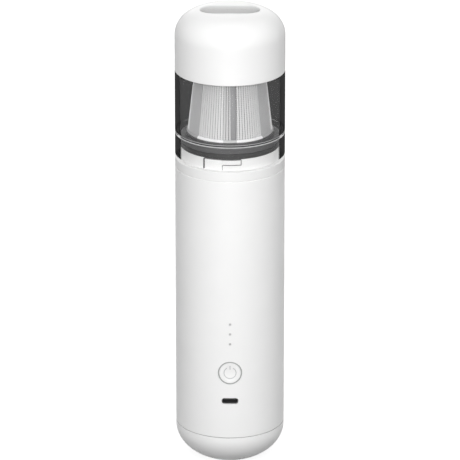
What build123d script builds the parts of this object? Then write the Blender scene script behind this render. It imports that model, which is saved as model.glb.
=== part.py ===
from build123d import *
from math import cos, radians, sin, sqrt
import os

os.makedirs("parts", exist_ok=True)

# A hand-held vacuum cleaner that stands on its end cap, nozzle up.
# Millimetres, +Z up along the barrel, origin under the middle of the foot, controls towards -Y.
# A depth is a distance in front of the barrel's axis, towards -Y.

# Clearances and edges that all pieces share
running_gap = 0.3
slip_gap = 0.1
shaft_gap = 0.03
seam_chamfer = 0.3
overrun = 1.0

# Angles, in degrees from +X, and the places round the axis that they stand for
full_turn = 360.0
half_turn = full_turn / 2
back_angle = full_turn / 4
front_angle = -back_angle

# Barrel
barrel_radius = 30.0
shell_wall = 2.2
shell_bore = barrel_radius - shell_wall

# Screws, one size throughout
screw_head_radius = 2.0
screw_head_height = 1.4
screw_radius = 1.1
screw_hole_radius = screw_radius + slip_gap
boss_radius = 2.6

# Foot pad and end cap
foot_proud = 0.4
foot_share = 0.4867
foot_radius = barrel_radius * foot_share
foot_recess = 0.8
dome_depth = 16.4
dome_semi_height = 20.2
dome_band = 2.1
dome_wall = 2.4
end_spigot_height = 5.0
end_spigot_wall = 1.8
pillar_radius = 3.4
pillar_height = 14.2
pillar_web = 2.4
pillar_share = 0.3533
pillar_circle = barrel_radius * pillar_share
pillar_count = 3
well_radius = 2.4

# Chassis: a lower disc, two rails with side webs, and a bulkhead under the motor
chassis_gap = 0.4
chassis_plate = 2.5
chassis_radius = shell_bore - chassis_gap
rail_thickness = 2.0
rail_lap = 5.0
rail_margin = 0.5
rail_web_lap = 2.0
lead_hole_radius = 9.5

# Battery: two cells side by side behind the circuit board
cell_share = 0.3067
cell_radius = barrel_radius * cell_share
cell_length = 65.2
cell_gap = 0.8
cell_pitch = 2 * cell_radius + cell_gap
cell_back_share = 0.25
cell_back = barrel_radius * cell_back_share
cell_slack = 0.2
cell_button_radius = 2.8
cell_button_height = 0.8
cradle_floor = 1.2
cradle_wall = 1.4
cradle_height = 8.9
clamp_height = 6.0
clamp_drop = 3.5
clamp_bar = 1.7
link_thickness = 0.4
link_width = 6.0
link_length = cell_pitch + link_width
lead_headroom = 10.1

# Circuit board and what it carries
board_depth_gap = 8.6
board_thickness = 1.6
board_width = 32.0
board_length = 64.0
board_lift = 5.9
board_headroom = 7.0
board_screw_inset = 2.5
chip_side = 5.0
chip_height = 1.0
coil_side = 6.5
coil_height = 3.0
chip_offset = 8.6
chip_drop = 14.0

# Charging inlet
usb_above_board_foot = 8.6
usb_width = 8.94
usb_height = 3.26
usb_corner = 1.3
usb_sheet = 0.3
usb_set_back = 0.8
usb_block = 2.0
usb_tongue_width = 6.7
usb_tongue_height = 0.7
usb_tongue_reach = 8.0

# Power button and its switch
button_above_board_foot = 25.2
button_radius = 5.95
button_play = 0.15
bezel_width = 0.45
bezel_seat = 2.6
button_sink = 0.1
dish_depth = 0.45
dish_rim = 0.7
button_flange_lap = 0.5
button_flange = 1.0
button_flange_set_back = 1.4
button_stem_radius = 1.6
switch_side = 6.0
switch_height = 3.4
plunger_radius = 1.7
plunger_proud = 1.0
plunger_length = 2.2
plunger_room = 1.0

# Charge lamps: three light pipes on one bar, in front of three small chips
lamp_above_board_foot = 53.8
lamp_pitch = 5.8
lamp_count = 3
pipe_radius = 0.6
pipe_bar_thickness = 1.5
pipe_bar_width = 3.0
pipe_bar_depth_gap = 4.2
lamp_chip_width = 2.0
lamp_chip_height = 1.2
lamp_chip_thickness = 0.8

# Motor
mount_floor = 2.0
mount_wall = 2.1
mount_height = 13.5
mount_head_gap = 0.6
mount_screw_count = 3
boot_wall = 2.0
boot_floor = 0.5
boot_height = 15.5
motor_share = 0.4833
motor_radius = barrel_radius * motor_share
motor_length = 38.0
can_wall = 1.2
can_top = 1.5
shaft_radius = 1.5
bearing_radius = 4.0
bearing_height = 3.5
bearing_boss_wall = 1.2
end_bell_height = 6.0
lower_bearing_radius = 3.0
lower_bearing_height = 2.5
magnet_thickness = 1.9
magnet_angle = 140.0
magnet_length = 25.0
magnet_lift = 7.0
air_gap = 0.4
rotor_length = 23.0
rotor_lift = 8.0
rotor_slots = 5
rotor_slot_width = 2.4
rotor_hub_radius = 4.6
commutator_radius = 3.6
commutator_length = 4.0
brush_width = 3.0
brush_height = 2.4
brush_length = 5.0
brush_gap = 0.1
motor_screw_circle = 8.0
motor_screw_count = 2
motor_screw_length = 3.4
motor_screw_head_height = 1.1

# Fan
housing_floor = 2.0
housing_wall = 2.0
housing_gap = 0.5
impeller_lift = 1.0
impeller_plate = 1.4
impeller_tip_gap = 1.4
impeller_height = 12.5
impeller_hub_radius = 4.5
blade_count = 9
blade_thickness = 1.0
blade_sweep = -58.0
blade_bow = -18.0
shroud_clearance = 1.5
shroud_plate = 2.0
eye_share = 0.605
eye_lip_wall = 1.5
eye_lip_height = 3.5
outlet_width = 3.6
outlet_margin = 0.6
outlet_angle = 76.0

# Body shell openings for the exhaust, on the back
vent_count = 9
vent_pitch = 9.0
vent_width = 2.0
vent_length = 24.0
vent_lift = 5.0

# Neck, with the bayonet lugs and a finger grille
neck_sink = 3.2
neck_reach = 6.2
neck_wall = 2.3
neck_boss_height = 6.0
neck_boss_inset = 2.3
neck_screw_count = 3
neck_screw_length = 13.0
grille_rise = 8.0
grille_height = 2.0
grille_bar = 1.6
grille_spokes = 6
grille_hub_radius = 3.5
grille_ring_share = 0.52

# Shoulder ring between the shell and the collar
shoulder_height = 5.5

# Bayonet collar: angles run from the front, towards +X
collar_wall = 2.4
collar_length = 14.3
collar_lip_height = 1.7
collar_lip_wall = 1.0
bayonet_count = 2
entry_start = -29.5
entry_angle = 21.1
leg_angle = 41.7
lug_play_angle = 0.6
lug_height = 2.4
slot_skin = 0.6

# Dust cup
cup_wall = 2.4
cup_length = 34.3
cup_joint_edge = 0.6
cup_spigot_wall = 1.9
cup_spigot_height = 8.0
cup_shelf = 3.3
cup_shelf_taper = 2.5
seal_height = 2.0
seal_depth = 1.0
seal_lift = 2.8

# Nozzle cap with its duct
cap_wall = 2.4
cap_straight = 20.1
cap_corner_height = 14.0
cap_corner_share = 0.5333
cap_corner_depth = barrel_radius * cap_corner_share
inlet_length = 32.2
inlet_width = 14.8
inlet_edge = 0.5
rim_angle = 45.0
duct_wall = 1.8
duct_length = 13.1

# Anti-spill flap on a pin behind the duct
flap_thickness = 1.5
flap_lap = 1.2
knuckle_radius = 1.5
knuckle_length = 11.8
knuckle_gap = 0.4
pin_radius = 0.8
ear_thickness = 2.0
ear_radius = 1.7
ear_height = 5.0

# Filter on the neck
filter_side_gap = 0.6
gasket_height = 2.8
gasket_width = 1.8
filter_flange_height = 3.5
filter_rim_height = 1.6
filter_rim_ledge = 0.9
filter_spigot_height = 4.0
filter_spigot_wall = 1.6
filter_spigot_gap = 0.3
mesh_thickness = 0.4
mesh_inset = 4.0
mesh_top_share = 0.8174
filter_rise = 3.7
filter_top_height = 1.5
filter_plug_height = 2.0
pleat_count = 40
pleat_depth = 2.6
pleat_gap = 0.5
core_wall = 1.2

# Levels along the axis, from the foot up
z_flat = foot_proud
z_equator = z_flat + dome_depth
z_shell = z_equator + dome_band
z_chassis = z_shell + end_spigot_height
z_chassis_top = z_chassis + chassis_plate
z_cells = z_chassis_top + cradle_floor
z_cells_top = z_cells + cell_length
z_board = z_chassis_top + board_lift
z_board_top = z_board + board_length
z_bulkhead = max(z_cells_top + link_thickness + lead_headroom, z_board_top + board_headroom)
z_mount = z_bulkhead + chassis_plate
z_boot = z_mount + mount_floor
z_motor = z_boot + boot_floor
z_motor_top = z_motor + motor_length
z_fan_floor = z_motor_top + housing_floor
z_impeller = z_fan_floor + impeller_lift
z_shroud = z_impeller + impeller_height + shroud_clearance
z_neck = z_shroud + shroud_plate
z_shell_top = z_neck + neck_sink
z_shoulder_top = z_shell_top + shoulder_height
z_collar = z_shoulder_top + running_gap
z_neck_top = z_collar + neck_reach
z_cup = z_collar + collar_length
z_cap = z_cup + cup_length
z_cap_corner = z_cap + cap_straight
z_cap_top = z_cap_corner + cap_corner_height
z_filter_base = z_neck_top + gasket_height
z_filter_flange = z_filter_base + filter_flange_height
z_mesh = z_filter_flange + filter_rim_height
z_filter_top = z_cap + filter_rise
z_mesh_top = z_filter_top - filter_top_height
z_usb = z_board + usb_above_board_foot
z_button = z_board + button_above_board_foot
z_lamp = z_board + lamp_above_board_foot
z_duct = z_cap_top - duct_length
z_flap_top = z_duct - running_gap
z_pin = z_flap_top - flap_thickness / 2

# Depths in front of the axis
board_front = shell_bore - board_depth_gap
board_back = board_front - board_thickness
rail_back = board_back - rail_thickness
switch_front = board_front + switch_height
plunger_front = switch_front + plunger_proud
flange_front = shell_bore - button_flange_set_back
flange_back = flange_front - button_flange
cell_pocket = cell_radius + cell_slack
clamp_front = cell_pocket + cradle_wall - cell_back
clamp_bar_front = clamp_front + clamp_bar

# Radii that fit one piece to the next
end_spigot_radius = shell_bore - slip_gap
collar_bore = barrel_radius - collar_wall
cup_bore = barrel_radius - cup_wall
cap_bore = barrel_radius - cap_wall
neck_radius = collar_bore - running_gap
neck_bore = neck_radius - neck_wall
slot_radius = barrel_radius - slot_skin
lug_radius = slot_radius - running_gap
lug_angle = entry_angle - 2 * lug_play_angle
cup_spigot_radius = cap_bore - running_gap
cup_spigot_bore = cup_spigot_radius - cup_spigot_wall
housing_radius = shell_bore - housing_gap
housing_bore = housing_radius - housing_wall
neck_screw_circle = housing_bore - neck_boss_inset
impeller_radius = neck_screw_circle - boss_radius - impeller_tip_gap
eye_radius = impeller_radius * eye_share
grille_ring_radius = neck_bore * grille_ring_share
can_bore = motor_radius - can_wall
boot_bore = motor_radius + slip_gap
boot_radius = boot_bore + boot_wall
mount_bore = boot_radius + slip_gap
mount_radius = mount_bore + mount_wall
mount_screw_circle = mount_radius + screw_head_radius + mount_head_gap
mount_flange_radius = mount_screw_circle + boss_radius
magnet_radius = can_bore - slip_gap
magnet_bore = magnet_radius - magnet_thickness
rotor_radius = magnet_bore - air_gap
filter_radius = min(collar_bore, cup_bore) - filter_side_gap
mesh_base_radius = filter_radius - mesh_inset
mesh_top_radius = mesh_base_radius * mesh_top_share
core_base_radius = mesh_base_radius - mesh_thickness - pleat_gap
filter_rim_radius = mesh_base_radius + filter_rim_ledge
filter_rim_bore = core_base_radius - pleat_depth
bezel_bore = button_radius + button_play
bezel_radius = bezel_bore + bezel_width
button_hole_radius = bezel_radius + slip_gap
rail_side = sqrt(chassis_radius**2 - board_back**2) - rail_margin
duct_length_outside = inlet_length + 2 * duct_wall
duct_width_outside = inlet_width + 2 * duct_wall
pin_back = duct_width_outside / 2 + knuckle_gap + knuckle_radius


def write(piece, name):
    """Label a finished piece and write it to its own file."""
    piece.part.label = name
    export_step(piece.part, f"parts/{name}.step")


def polar(radius, angle):
    """A point in the XY plane, by its angle in degrees from +X."""
    return (radius * cos(radians(angle)), radius * sin(radians(angle)))


def disc(radius, z_low, z_high, at=(0, 0), mode=Mode.ADD):
    """An upright round bar of the open part, standing at a point."""
    with BuildSketch(Plane.XY.offset(z_low)) as outline:
        with Locations(at):
            Circle(radius)
    extrude(outline.sketch, amount=z_high - z_low, mode=mode)


def block(x_low, x_high, depth_low, depth_high, z_low, z_high, mode=Mode.ADD):
    """A box of the open part between two X, two depth and two height limits."""
    with BuildSketch(Plane.XZ.offset(depth_low)) as outline:
        with Locations(((x_low + x_high) / 2, (z_low + z_high) / 2)):
            Rectangle(x_high - x_low, z_high - z_low)
    extrude(outline.sketch, amount=depth_high - depth_low, mode=mode)


def front_disc(radius, z, depth_low, depth_high, x=0, mode=Mode.ADD):
    """A round bar of the open part that lies along the depth."""
    with BuildSketch(Plane.XZ.offset(depth_low)) as outline:
        with Locations((x, z)):
            Circle(radius)
    extrude(outline.sketch, amount=depth_high - depth_low, mode=mode)


def front_rounded(width, height, corner, z, depth_low, depth_high, mode=Mode.ADD):
    """A rounded bar of the open part that lies along the depth."""
    with BuildSketch(Plane.XZ.offset(depth_low)) as outline:
        with Locations((0, z)):
            RectangleRounded(width, height, corner)
    extrude(outline.sketch, amount=depth_high - depth_low, mode=mode)


def turned(points, mode=Mode.ADD):
    """A shape of the open part turned about the axis, from (radius, height) points."""
    with BuildSketch(Plane.XZ) as outline:
        with BuildLine():
            Polyline(*points, close=True)
        make_face()
    revolve(outline.sketch, axis=Axis.Z, mode=mode)


def ring(radius, bore, z_low, z_high, mode=Mode.ADD):
    """A plain ring of the open part about the axis."""
    turned([(bore, z_low), (radius, z_low), (radius, z_high), (bore, z_high)], mode)


def edged_ring(radius, bore, z_low, z_high, low_edge=seam_chamfer, high_edge=seam_chamfer):
    """A ring whose two outer edges are broken, so that its seams show as fine grooves."""
    turned(
        [
            (bore, z_low),
            (radius - low_edge, z_low),
            (radius, z_low + low_edge),
            (radius, z_high - high_edge),
            (radius - high_edge, z_high),
            (bore, z_high),
        ]
    )


def arc_band(radius, bore, start, size, z_low, z_high, mode=Mode.ADD):
    """A curved bar of the open part: part of a ring, between two angles from the front."""
    with BuildSketch(Plane.XY.offset(z_low)) as outline:
        with BuildLine():
            outer = CenterArc((0, 0), radius, front_angle + start, size)
            inner = CenterArc((0, 0), bore, front_angle + start, size)
            Line(outer @ 0, inner @ 0)
            Line(outer @ 1, inner @ 1)
        make_face()
    extrude(outline.sketch, amount=z_high - z_low, mode=mode)


def dome(radius, semi_height, z_low):
    """A half ellipsoid of the open part, hanging from the equator and cut flat below."""
    with BuildSketch(Plane.XZ) as outline:
        with Locations((0, z_equator)):
            Ellipse(radius, semi_height)
        with Locations((0, z_low)):
            Rectangle(radius, z_equator - z_low, align=(Align.MIN, Align.MIN), mode=Mode.INTERSECT)
    revolve(outline.sketch, axis=Axis.Z)


def hollow_dome(radius, semi_height, z_low, z_high):
    """The room inside a dome, open above the equator."""
    with BuildSketch(Plane.XZ) as outline:
        with Locations((0, z_equator)):
            Ellipse(radius, semi_height)
        with Locations((0, z_low)):
            Rectangle(radius, z_equator - z_low, align=(Align.MIN, Align.MIN), mode=Mode.INTERSECT)
        with Locations((0, z_equator)):
            Rectangle(radius, z_high - z_equator, align=(Align.MIN, Align.MIN))
    revolve(outline.sketch, axis=Axis.Z, mode=Mode.SUBTRACT)


def capped(radius, corner_depth, corner_height, z_low, z_top, mode=Mode.ADD):
    """A round block of the open part with an elliptical upper corner and a flat crown."""
    flat = radius - corner_depth
    corner = z_top - corner_height
    with BuildSketch(Plane.XZ) as outline:
        with Locations((flat, corner)):
            Ellipse(corner_depth, corner_height)
        with Locations((0, corner)):
            Rectangle(flat, corner_height, align=(Align.MIN, Align.MIN))
        with Locations((0, corner)):
            Rectangle(radius, corner_height, align=(Align.MIN, Align.MIN), mode=Mode.INTERSECT)
        with Locations((0, z_low)):
            Rectangle(radius, corner - z_low, align=(Align.MIN, Align.MIN))
    revolve(outline.sketch, axis=Axis.Z, mode=mode)


def oval(length, width, z_low, z_high, mode=Mode.ADD):
    """An upright bar of the open part with the nozzle's oval section."""
    with BuildSketch(Plane.XY.offset(z_low)) as outline:
        SlotOverall(length, width)
    extrude(outline.sketch, amount=z_high - z_low, mode=mode)


def across(radius, back, z, half_length, middle=0, mode=Mode.ADD):
    """A round bar of the open part that lies along X, behind the axis."""
    with BuildSketch(Plane.YZ.offset(middle - half_length)) as outline:
        with Locations((back, z)):
            Circle(radius)
    extrude(outline.sketch, amount=2 * half_length, mode=mode)


def screw(at, seat, length, up=1):
    """A screw of the open part at a point: head above its seat, shank below, or upside down."""
    disc(screw_head_radius, seat, seat + up * screw_head_height, at)
    disc(screw_radius, seat, seat - up * length, at)


def on_circle(radius, count, first):
    """Points spread evenly round the axis, the first at an angle in degrees from +X."""
    return [polar(radius, first + i * full_turn / count) for i in range(count)]


pillar_points = on_circle(pillar_circle, pillar_count, back_angle)
neck_screw_points = on_circle(neck_screw_circle, neck_screw_count, back_angle)
mount_screw_points = on_circle(mount_screw_circle, mount_screw_count, back_angle)
motor_screw_points = on_circle(motor_screw_circle, motor_screw_count, 0)
cell_points = [(side * cell_pitch / 2, cell_back) for side in (-1, 1)]
board_screw_points = [
    (side * (board_width / 2 - board_screw_inset), level)
    for side in (-1, 1)
    for level in (z_board + board_screw_inset, z_board_top - board_screw_inset)
]
lamp_levels = [z_lamp - i * lamp_pitch for i in range(lamp_count)]


# Foot pad, glued over the screw wells of the end cap
with BuildPart() as foot_pad:
    disc(foot_radius, 0, z_flat + foot_recess - slip_gap)
    foot_edges = foot_pad.edges().group_by(Axis.Z)[0]
    chamfer(foot_edges, foot_proud / 2)
write(foot_pad, "foot_pad")

# End cap: a flattened dome with a spigot and three hollow pillars
z_pillar_top = z_flat + pillar_height
z_well_top = z_pillar_top - pillar_web
with BuildPart() as end_cap:
    dome(barrel_radius, dome_semi_height, z_flat)
    turned(
        [
            (0, z_equator),
            (barrel_radius, z_equator),
            (barrel_radius, z_shell - seam_chamfer),
            (barrel_radius - seam_chamfer, z_shell),
            (end_spigot_radius, z_shell),
            (end_spigot_radius, z_chassis),
            (0, z_chassis),
        ]
    )
    hollow_dome(
        end_spigot_radius - end_spigot_wall,
        dome_semi_height - dome_wall,
        z_flat + foot_recess + dome_wall,
        z_chassis + overrun,
    )
    for point in pillar_points:
        disc(pillar_radius, z_flat + foot_recess, z_pillar_top, point)
    disc(foot_radius + slip_gap, z_flat - overrun, z_flat + foot_recess, mode=Mode.SUBTRACT)
    for point in pillar_points:
        disc(well_radius, z_flat, z_well_top, point, Mode.SUBTRACT)
        disc(screw_hole_radius, z_flat, z_pillar_top + overrun, point, Mode.SUBTRACT)
write(end_cap, "end_cap")

end_screw_length = z_chassis - z_well_top - chassis_plate / 2
with BuildPart() as end_cap_screws:
    for point in pillar_points:
        screw(point, z_well_top, end_screw_length, up=-1)
write(end_cap_screws, "end_cap_screws")

# Body shell: one tube, with openings for the controls in front and for the exhaust behind
vent_middle = z_motor + vent_lift + vent_length / 2
with BuildPart() as body_shell:
    edged_ring(barrel_radius, shell_bore, z_shell, z_shell_top)
    front_disc(button_hole_radius, z_button, 0, barrel_radius + overrun, mode=Mode.SUBTRACT)
    for level in lamp_levels:
        front_disc(pipe_radius + slip_gap, level, 0, barrel_radius + overrun, mode=Mode.SUBTRACT)
    front_rounded(
        usb_width + 2 * slip_gap,
        usb_height + 2 * slip_gap,
        usb_corner + slip_gap,
        z_usb,
        0,
        barrel_radius + overrun,
        Mode.SUBTRACT,
    )
    for i in range(vent_count):
        turn = back_angle + (i - (vent_count - 1) / 2) * vent_pitch
        facing = Plane(origin=(0, 0, vent_middle), x_dir=(0, 0, 1), z_dir=(*polar(1, turn), 0))
        with BuildSketch(facing) as vent:
            SlotOverall(vent_length, vent_width)
        extrude(vent.sketch, amount=barrel_radius + overrun, mode=Mode.SUBTRACT)
write(body_shell, "body_shell")

# Shoulder ring, seated on the shell round the neck
with BuildPart() as shoulder_ring:
    edged_ring(barrel_radius, neck_radius + slip_gap, z_shell_top, z_shoulder_top)
write(shoulder_ring, "shoulder_ring")

# Chassis
with BuildPart() as chassis:
    disc(chassis_radius, z_chassis, z_chassis_top)
    for point in pillar_points:
        disc(pillar_radius, z_pillar_top, z_chassis, point)
    disc(chassis_radius, z_bulkhead, z_mount)
    rail_inner = board_width / 2 - rail_lap
    for side in (-1, 1):
        near, far = sorted((side * rail_inner, side * rail_side))
        block(near, far, rail_back, board_back, z_chassis_top, z_bulkhead)
        near, far = sorted((side * (rail_side - rail_thickness), side * rail_side))
        block(near, far, clamp_bar_front - rail_web_lap, board_back, z_chassis_top, z_bulkhead)
    disc(lead_hole_radius, z_bulkhead - overrun, z_mount + overrun, mode=Mode.SUBTRACT)
    for point in pillar_points:
        disc(screw_hole_radius, z_pillar_top - overrun, z_chassis, point, Mode.SUBTRACT)
    for point in mount_screw_points:
        disc(screw_hole_radius, z_bulkhead - overrun, z_mount + overrun, point, Mode.SUBTRACT)
    for x, level in board_screw_points:
        front_disc(screw_hole_radius, level, rail_back - overrun, board_back + overrun, x, Mode.SUBTRACT)
write(chassis, "chassis")

# Battery: cradle, cells, clamp and the strip that joins the cells
with BuildPart() as battery_cradle:
    with BuildSketch(Plane.XY.offset(z_chassis_top)) as cradle_outline:
        with Locations((0, cell_back)):
            SlotOverall(cell_pitch + 2 * (cell_pocket + cradle_wall), 2 * (cell_pocket + cradle_wall))
    extrude(amount=cradle_height)
    for point in cell_points:
        disc(cell_pocket, z_cells, z_chassis_top + cradle_height + overrun, point, Mode.SUBTRACT)
write(battery_cradle, "battery_cradle")

with BuildPart() as battery_cells:
    for point in cell_points:
        disc(cell_radius, z_cells, z_cells_top - cell_button_height, point)
        disc(cell_button_radius, z_cells_top - cell_button_height, z_cells_top, point)
write(battery_cells, "battery_cells")

z_clamp_top = z_cells_top - clamp_drop
with BuildPart() as battery_clamp:
    with BuildSketch(Plane.XY.offset(z_clamp_top - clamp_height)) as clamp_outline:
        with Locations((0, cell_back)):
            SlotOverall(cell_pitch + 2 * (cell_pocket + cradle_wall), 2 * (cell_pocket + cradle_wall))
    extrude(amount=clamp_height)
    block(
        -(rail_side - rail_thickness),
        rail_side - rail_thickness,
        clamp_front - cradle_wall,
        clamp_bar_front,
        z_clamp_top - clamp_height,
        z_clamp_top,
    )
    for point in cell_points:
        disc(cell_pocket, z_clamp_top - clamp_height - overrun, z_clamp_top + overrun, point, Mode.SUBTRACT)
write(battery_clamp, "battery_clamp")

with BuildPart() as battery_link:
    with BuildSketch(Plane.XY.offset(z_cells_top)) as link_outline:
        with Locations((0, cell_back)):
            SlotOverall(link_length, link_width)
    extrude(amount=link_thickness)
write(battery_link, "battery_link")

# Circuit board and its parts
with BuildPart() as main_pcb:
    block(-board_width / 2, board_width / 2, board_back, board_front, z_board, z_board_top)
    for x, level in board_screw_points:
        front_disc(screw_hole_radius, level, board_back - overrun, board_front + overrun, x, Mode.SUBTRACT)
write(main_pcb, "main_pcb")

with BuildPart() as pcb_screws:
    for x, level in board_screw_points:
        front_disc(screw_head_radius, level, board_front, board_front + screw_head_height, x)
        front_disc(screw_radius, level, rail_back, board_front, x)
write(pcb_screws, "pcb_screws")

chip_low = z_button - chip_drop
chip_places = [
    (chip_offset, chip_low, chip_side, chip_height),
    (chip_offset, z_lamp - lamp_pitch, chip_side, chip_height),
    (-chip_offset, z_button, coil_side, coil_height),
    (-chip_offset, z_lamp - lamp_pitch, chip_side, chip_height),
]
with BuildPart() as pcb_chips:
    for x, level, side, height in chip_places:
        block(
            x - side / 2,
            x + side / 2,
            board_front,
            board_front + height,
            level - side / 2,
            level + side / 2,
        )
write(pcb_chips, "pcb_chips")

with BuildPart() as tact_switch:
    half = switch_side / 2
    block(-half, half, board_front, switch_front, z_button - half, z_button + half)
    plunger_pocket = plunger_front - plunger_length - plunger_room
    front_disc(
        plunger_radius + slip_gap,
        z_button,
        plunger_pocket,
        switch_front + overrun,
        mode=Mode.SUBTRACT,
    )
write(tact_switch, "tact_switch")

with BuildPart() as switch_plunger:
    front_disc(plunger_radius, z_button, plunger_front - plunger_length, plunger_front)
write(switch_plunger, "switch_plunger")

# Power button: flush with the barrel, with a shallow dish, a retaining flange and a stem
button_top = barrel_radius - button_sink
dish_radius = button_radius - dish_rim
dish_ball = (dish_radius**2 + dish_depth**2) / (2 * dish_depth)
with BuildPart() as power_button:
    front_disc(button_radius, z_button, flange_back, barrel_radius)
    disc(button_top, z_button - barrel_radius, z_button + barrel_radius, mode=Mode.INTERSECT)
    front_disc(bezel_radius + button_flange_lap, z_button, flange_back, flange_front)
    front_disc(button_stem_radius, z_button, plunger_front, flange_back)
    with Locations((0, -(button_top + dish_ball - dish_depth), z_button)):
        Sphere(dish_ball, mode=Mode.SUBTRACT)
write(power_button, "power_button")

with BuildPart() as button_bezel:
    front_disc(bezel_radius, z_button, barrel_radius - bezel_seat, barrel_radius + overrun)
    disc(barrel_radius, z_button - barrel_radius, z_button + barrel_radius, mode=Mode.INTERSECT)
    front_disc(bezel_bore, z_button, 0, barrel_radius + overrun, mode=Mode.SUBTRACT)
write(button_bezel, "button_bezel")

# Charge lamps
with BuildPart() as led_chips:
    for level in lamp_levels:
        block(
            -lamp_chip_width / 2,
            lamp_chip_width / 2,
            board_front,
            board_front + lamp_chip_thickness,
            level - lamp_chip_height / 2,
            level + lamp_chip_height / 2,
        )
write(led_chips, "led_chips")

pipe_bar_front = shell_bore - pipe_bar_depth_gap
with BuildPart() as light_pipes:
    block(
        -pipe_bar_width / 2,
        pipe_bar_width / 2,
        pipe_bar_front - pipe_bar_thickness,
        pipe_bar_front,
        lamp_levels[-1] - pipe_bar_width / 2,
        lamp_levels[0] + pipe_bar_width / 2,
    )
    for level in lamp_levels:
        front_disc(pipe_radius, level, board_front + lamp_chip_thickness + slip_gap, barrel_radius)
    disc(barrel_radius, z_board, z_bulkhead, mode=Mode.INTERSECT)
write(light_pipes, "light_pipes")

# Charging inlet: a rolled steel shell round a tongue on a block
usb_mouth = barrel_radius - usb_set_back
with BuildPart() as usb_shell:
    front_rounded(usb_width, usb_height, usb_corner, z_usb, board_front, usb_mouth)
    front_rounded(
        usb_width - 2 * usb_sheet,
        usb_height - 2 * usb_sheet,
        usb_corner - usb_sheet,
        z_usb,
        board_front - overrun,
        usb_mouth + overrun,
        Mode.SUBTRACT,
    )
write(usb_shell, "usb_shell")

with BuildPart() as usb_tongue:
    front_rounded(
        usb_width - 2 * (usb_sheet + slip_gap),
        usb_height - 2 * (usb_sheet + slip_gap),
        usb_corner - usb_sheet - slip_gap,
        z_usb,
        board_front,
        board_front + usb_block,
    )
    block(
        -usb_tongue_width / 2,
        usb_tongue_width / 2,
        board_front,
        board_front + usb_tongue_reach,
        z_usb - usb_tongue_height / 2,
        z_usb + usb_tongue_height / 2,
    )
write(usb_tongue, "usb_tongue")

# Motor mount and rubber boot
with BuildPart() as motor_mount:
    disc(mount_flange_radius, z_mount, z_boot)
    disc(mount_radius, z_mount, z_boot + mount_height)
    disc(mount_bore, z_boot, z_boot + mount_height + overrun, mode=Mode.SUBTRACT)
    disc(lead_hole_radius, z_mount - overrun, z_boot + overrun, mode=Mode.SUBTRACT)
    for point in mount_screw_points:
        disc(screw_hole_radius, z_mount - overrun, z_boot + overrun, point, Mode.SUBTRACT)
write(motor_mount, "motor_mount")

with BuildPart() as mount_screws:
    for point in mount_screw_points:
        screw(point, z_boot, mount_floor + chassis_plate)
write(mount_screws, "mount_screws")

with BuildPart() as motor_boot:
    ring(boot_radius, lead_hole_radius, z_boot, z_motor)
    ring(boot_radius, boot_bore, z_motor, z_boot + boot_height)
write(motor_boot, "motor_boot")

# Motor: can, end bell, magnets, bearings, brushes and the turning parts
z_bearing = z_motor_top - bearing_height
with BuildPart() as motor_can:
    disc(motor_radius, z_motor, z_motor_top)
    disc(can_bore, z_motor - overrun, z_motor_top - can_top, mode=Mode.SUBTRACT)
    disc(bearing_radius + bearing_boss_wall, z_bearing, z_motor_top)
    disc(bearing_radius, z_bearing - overrun, z_motor_top + overrun, mode=Mode.SUBTRACT)
    for point in motor_screw_points:
        disc(screw_hole_radius, z_motor, z_motor_top + overrun, point, Mode.SUBTRACT)
write(motor_can, "motor_can")

z_commutator = z_motor + lower_bearing_height + running_gap
brush_inner = commutator_radius + brush_gap
z_brush = z_commutator + running_gap
with BuildPart() as motor_end_bell:
    disc(can_bore - slip_gap, z_motor, z_motor + end_bell_height)
    disc(lower_bearing_radius, z_motor - overrun, z_motor + lower_bearing_height, mode=Mode.SUBTRACT)
    disc(
        commutator_radius + running_gap,
        z_motor + lower_bearing_height,
        z_motor + end_bell_height + overrun,
        mode=Mode.SUBTRACT,
    )
    brush_end = brush_inner + brush_length + slip_gap
    block(
        -brush_end,
        brush_end,
        -brush_width / 2 - slip_gap,
        brush_width / 2 + slip_gap,
        z_brush - slip_gap,
        z_motor + end_bell_height + overrun,
        Mode.SUBTRACT,
    )
write(motor_end_bell, "motor_end_bell")

with BuildPart() as motor_brushes:
    for side in (-1, 1):
        near, far = sorted((side * brush_inner, side * (brush_inner + brush_length)))
        block(near, far, -brush_width / 2, brush_width / 2, z_brush, z_brush + brush_height)
    disc(brush_inner, z_brush - overrun, z_brush + brush_height + overrun, mode=Mode.SUBTRACT)
write(motor_brushes, "motor_brushes")

with BuildPart() as motor_bearings:
    ring(bearing_radius - shaft_gap, shaft_radius + shaft_gap, z_bearing, z_motor_top)
    ring(
        lower_bearing_radius - shaft_gap,
        shaft_radius + shaft_gap,
        z_motor,
        z_motor + lower_bearing_height,
    )
write(motor_bearings, "motor_bearings")

z_magnet = z_motor + magnet_lift
with BuildPart() as motor_magnets:
    for middle in (0, half_turn):
        arc_band(
            magnet_radius,
            magnet_bore,
            middle - magnet_angle / 2,
            magnet_angle,
            z_magnet,
            z_magnet + magnet_length,
        )
write(motor_magnets, "motor_magnets")

z_rotor = z_motor + rotor_lift
with BuildPart() as rotor_core:
    disc(rotor_radius, z_rotor, z_rotor + rotor_length)
    for i in range(rotor_slots):
        turn = i * full_turn / rotor_slots
        with BuildSketch(Plane.XY.offset(z_rotor - overrun).rotated((0, 0, turn))) as rotor_slot:
            with Locations((rotor_hub_radius, 0)):
                Rectangle(rotor_radius, rotor_slot_width, align=(Align.MIN, Align.CENTER))
        extrude(rotor_slot.sketch, amount=rotor_length + 2 * overrun, mode=Mode.SUBTRACT)
    disc(shaft_radius + shaft_gap, z_rotor - overrun, z_rotor + rotor_length + overrun, mode=Mode.SUBTRACT)
write(rotor_core, "rotor_core")

with BuildPart() as commutator:
    ring(
        commutator_radius,
        shaft_radius + shaft_gap,
        z_commutator,
        z_commutator + commutator_length,
    )
write(commutator, "commutator")

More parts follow.
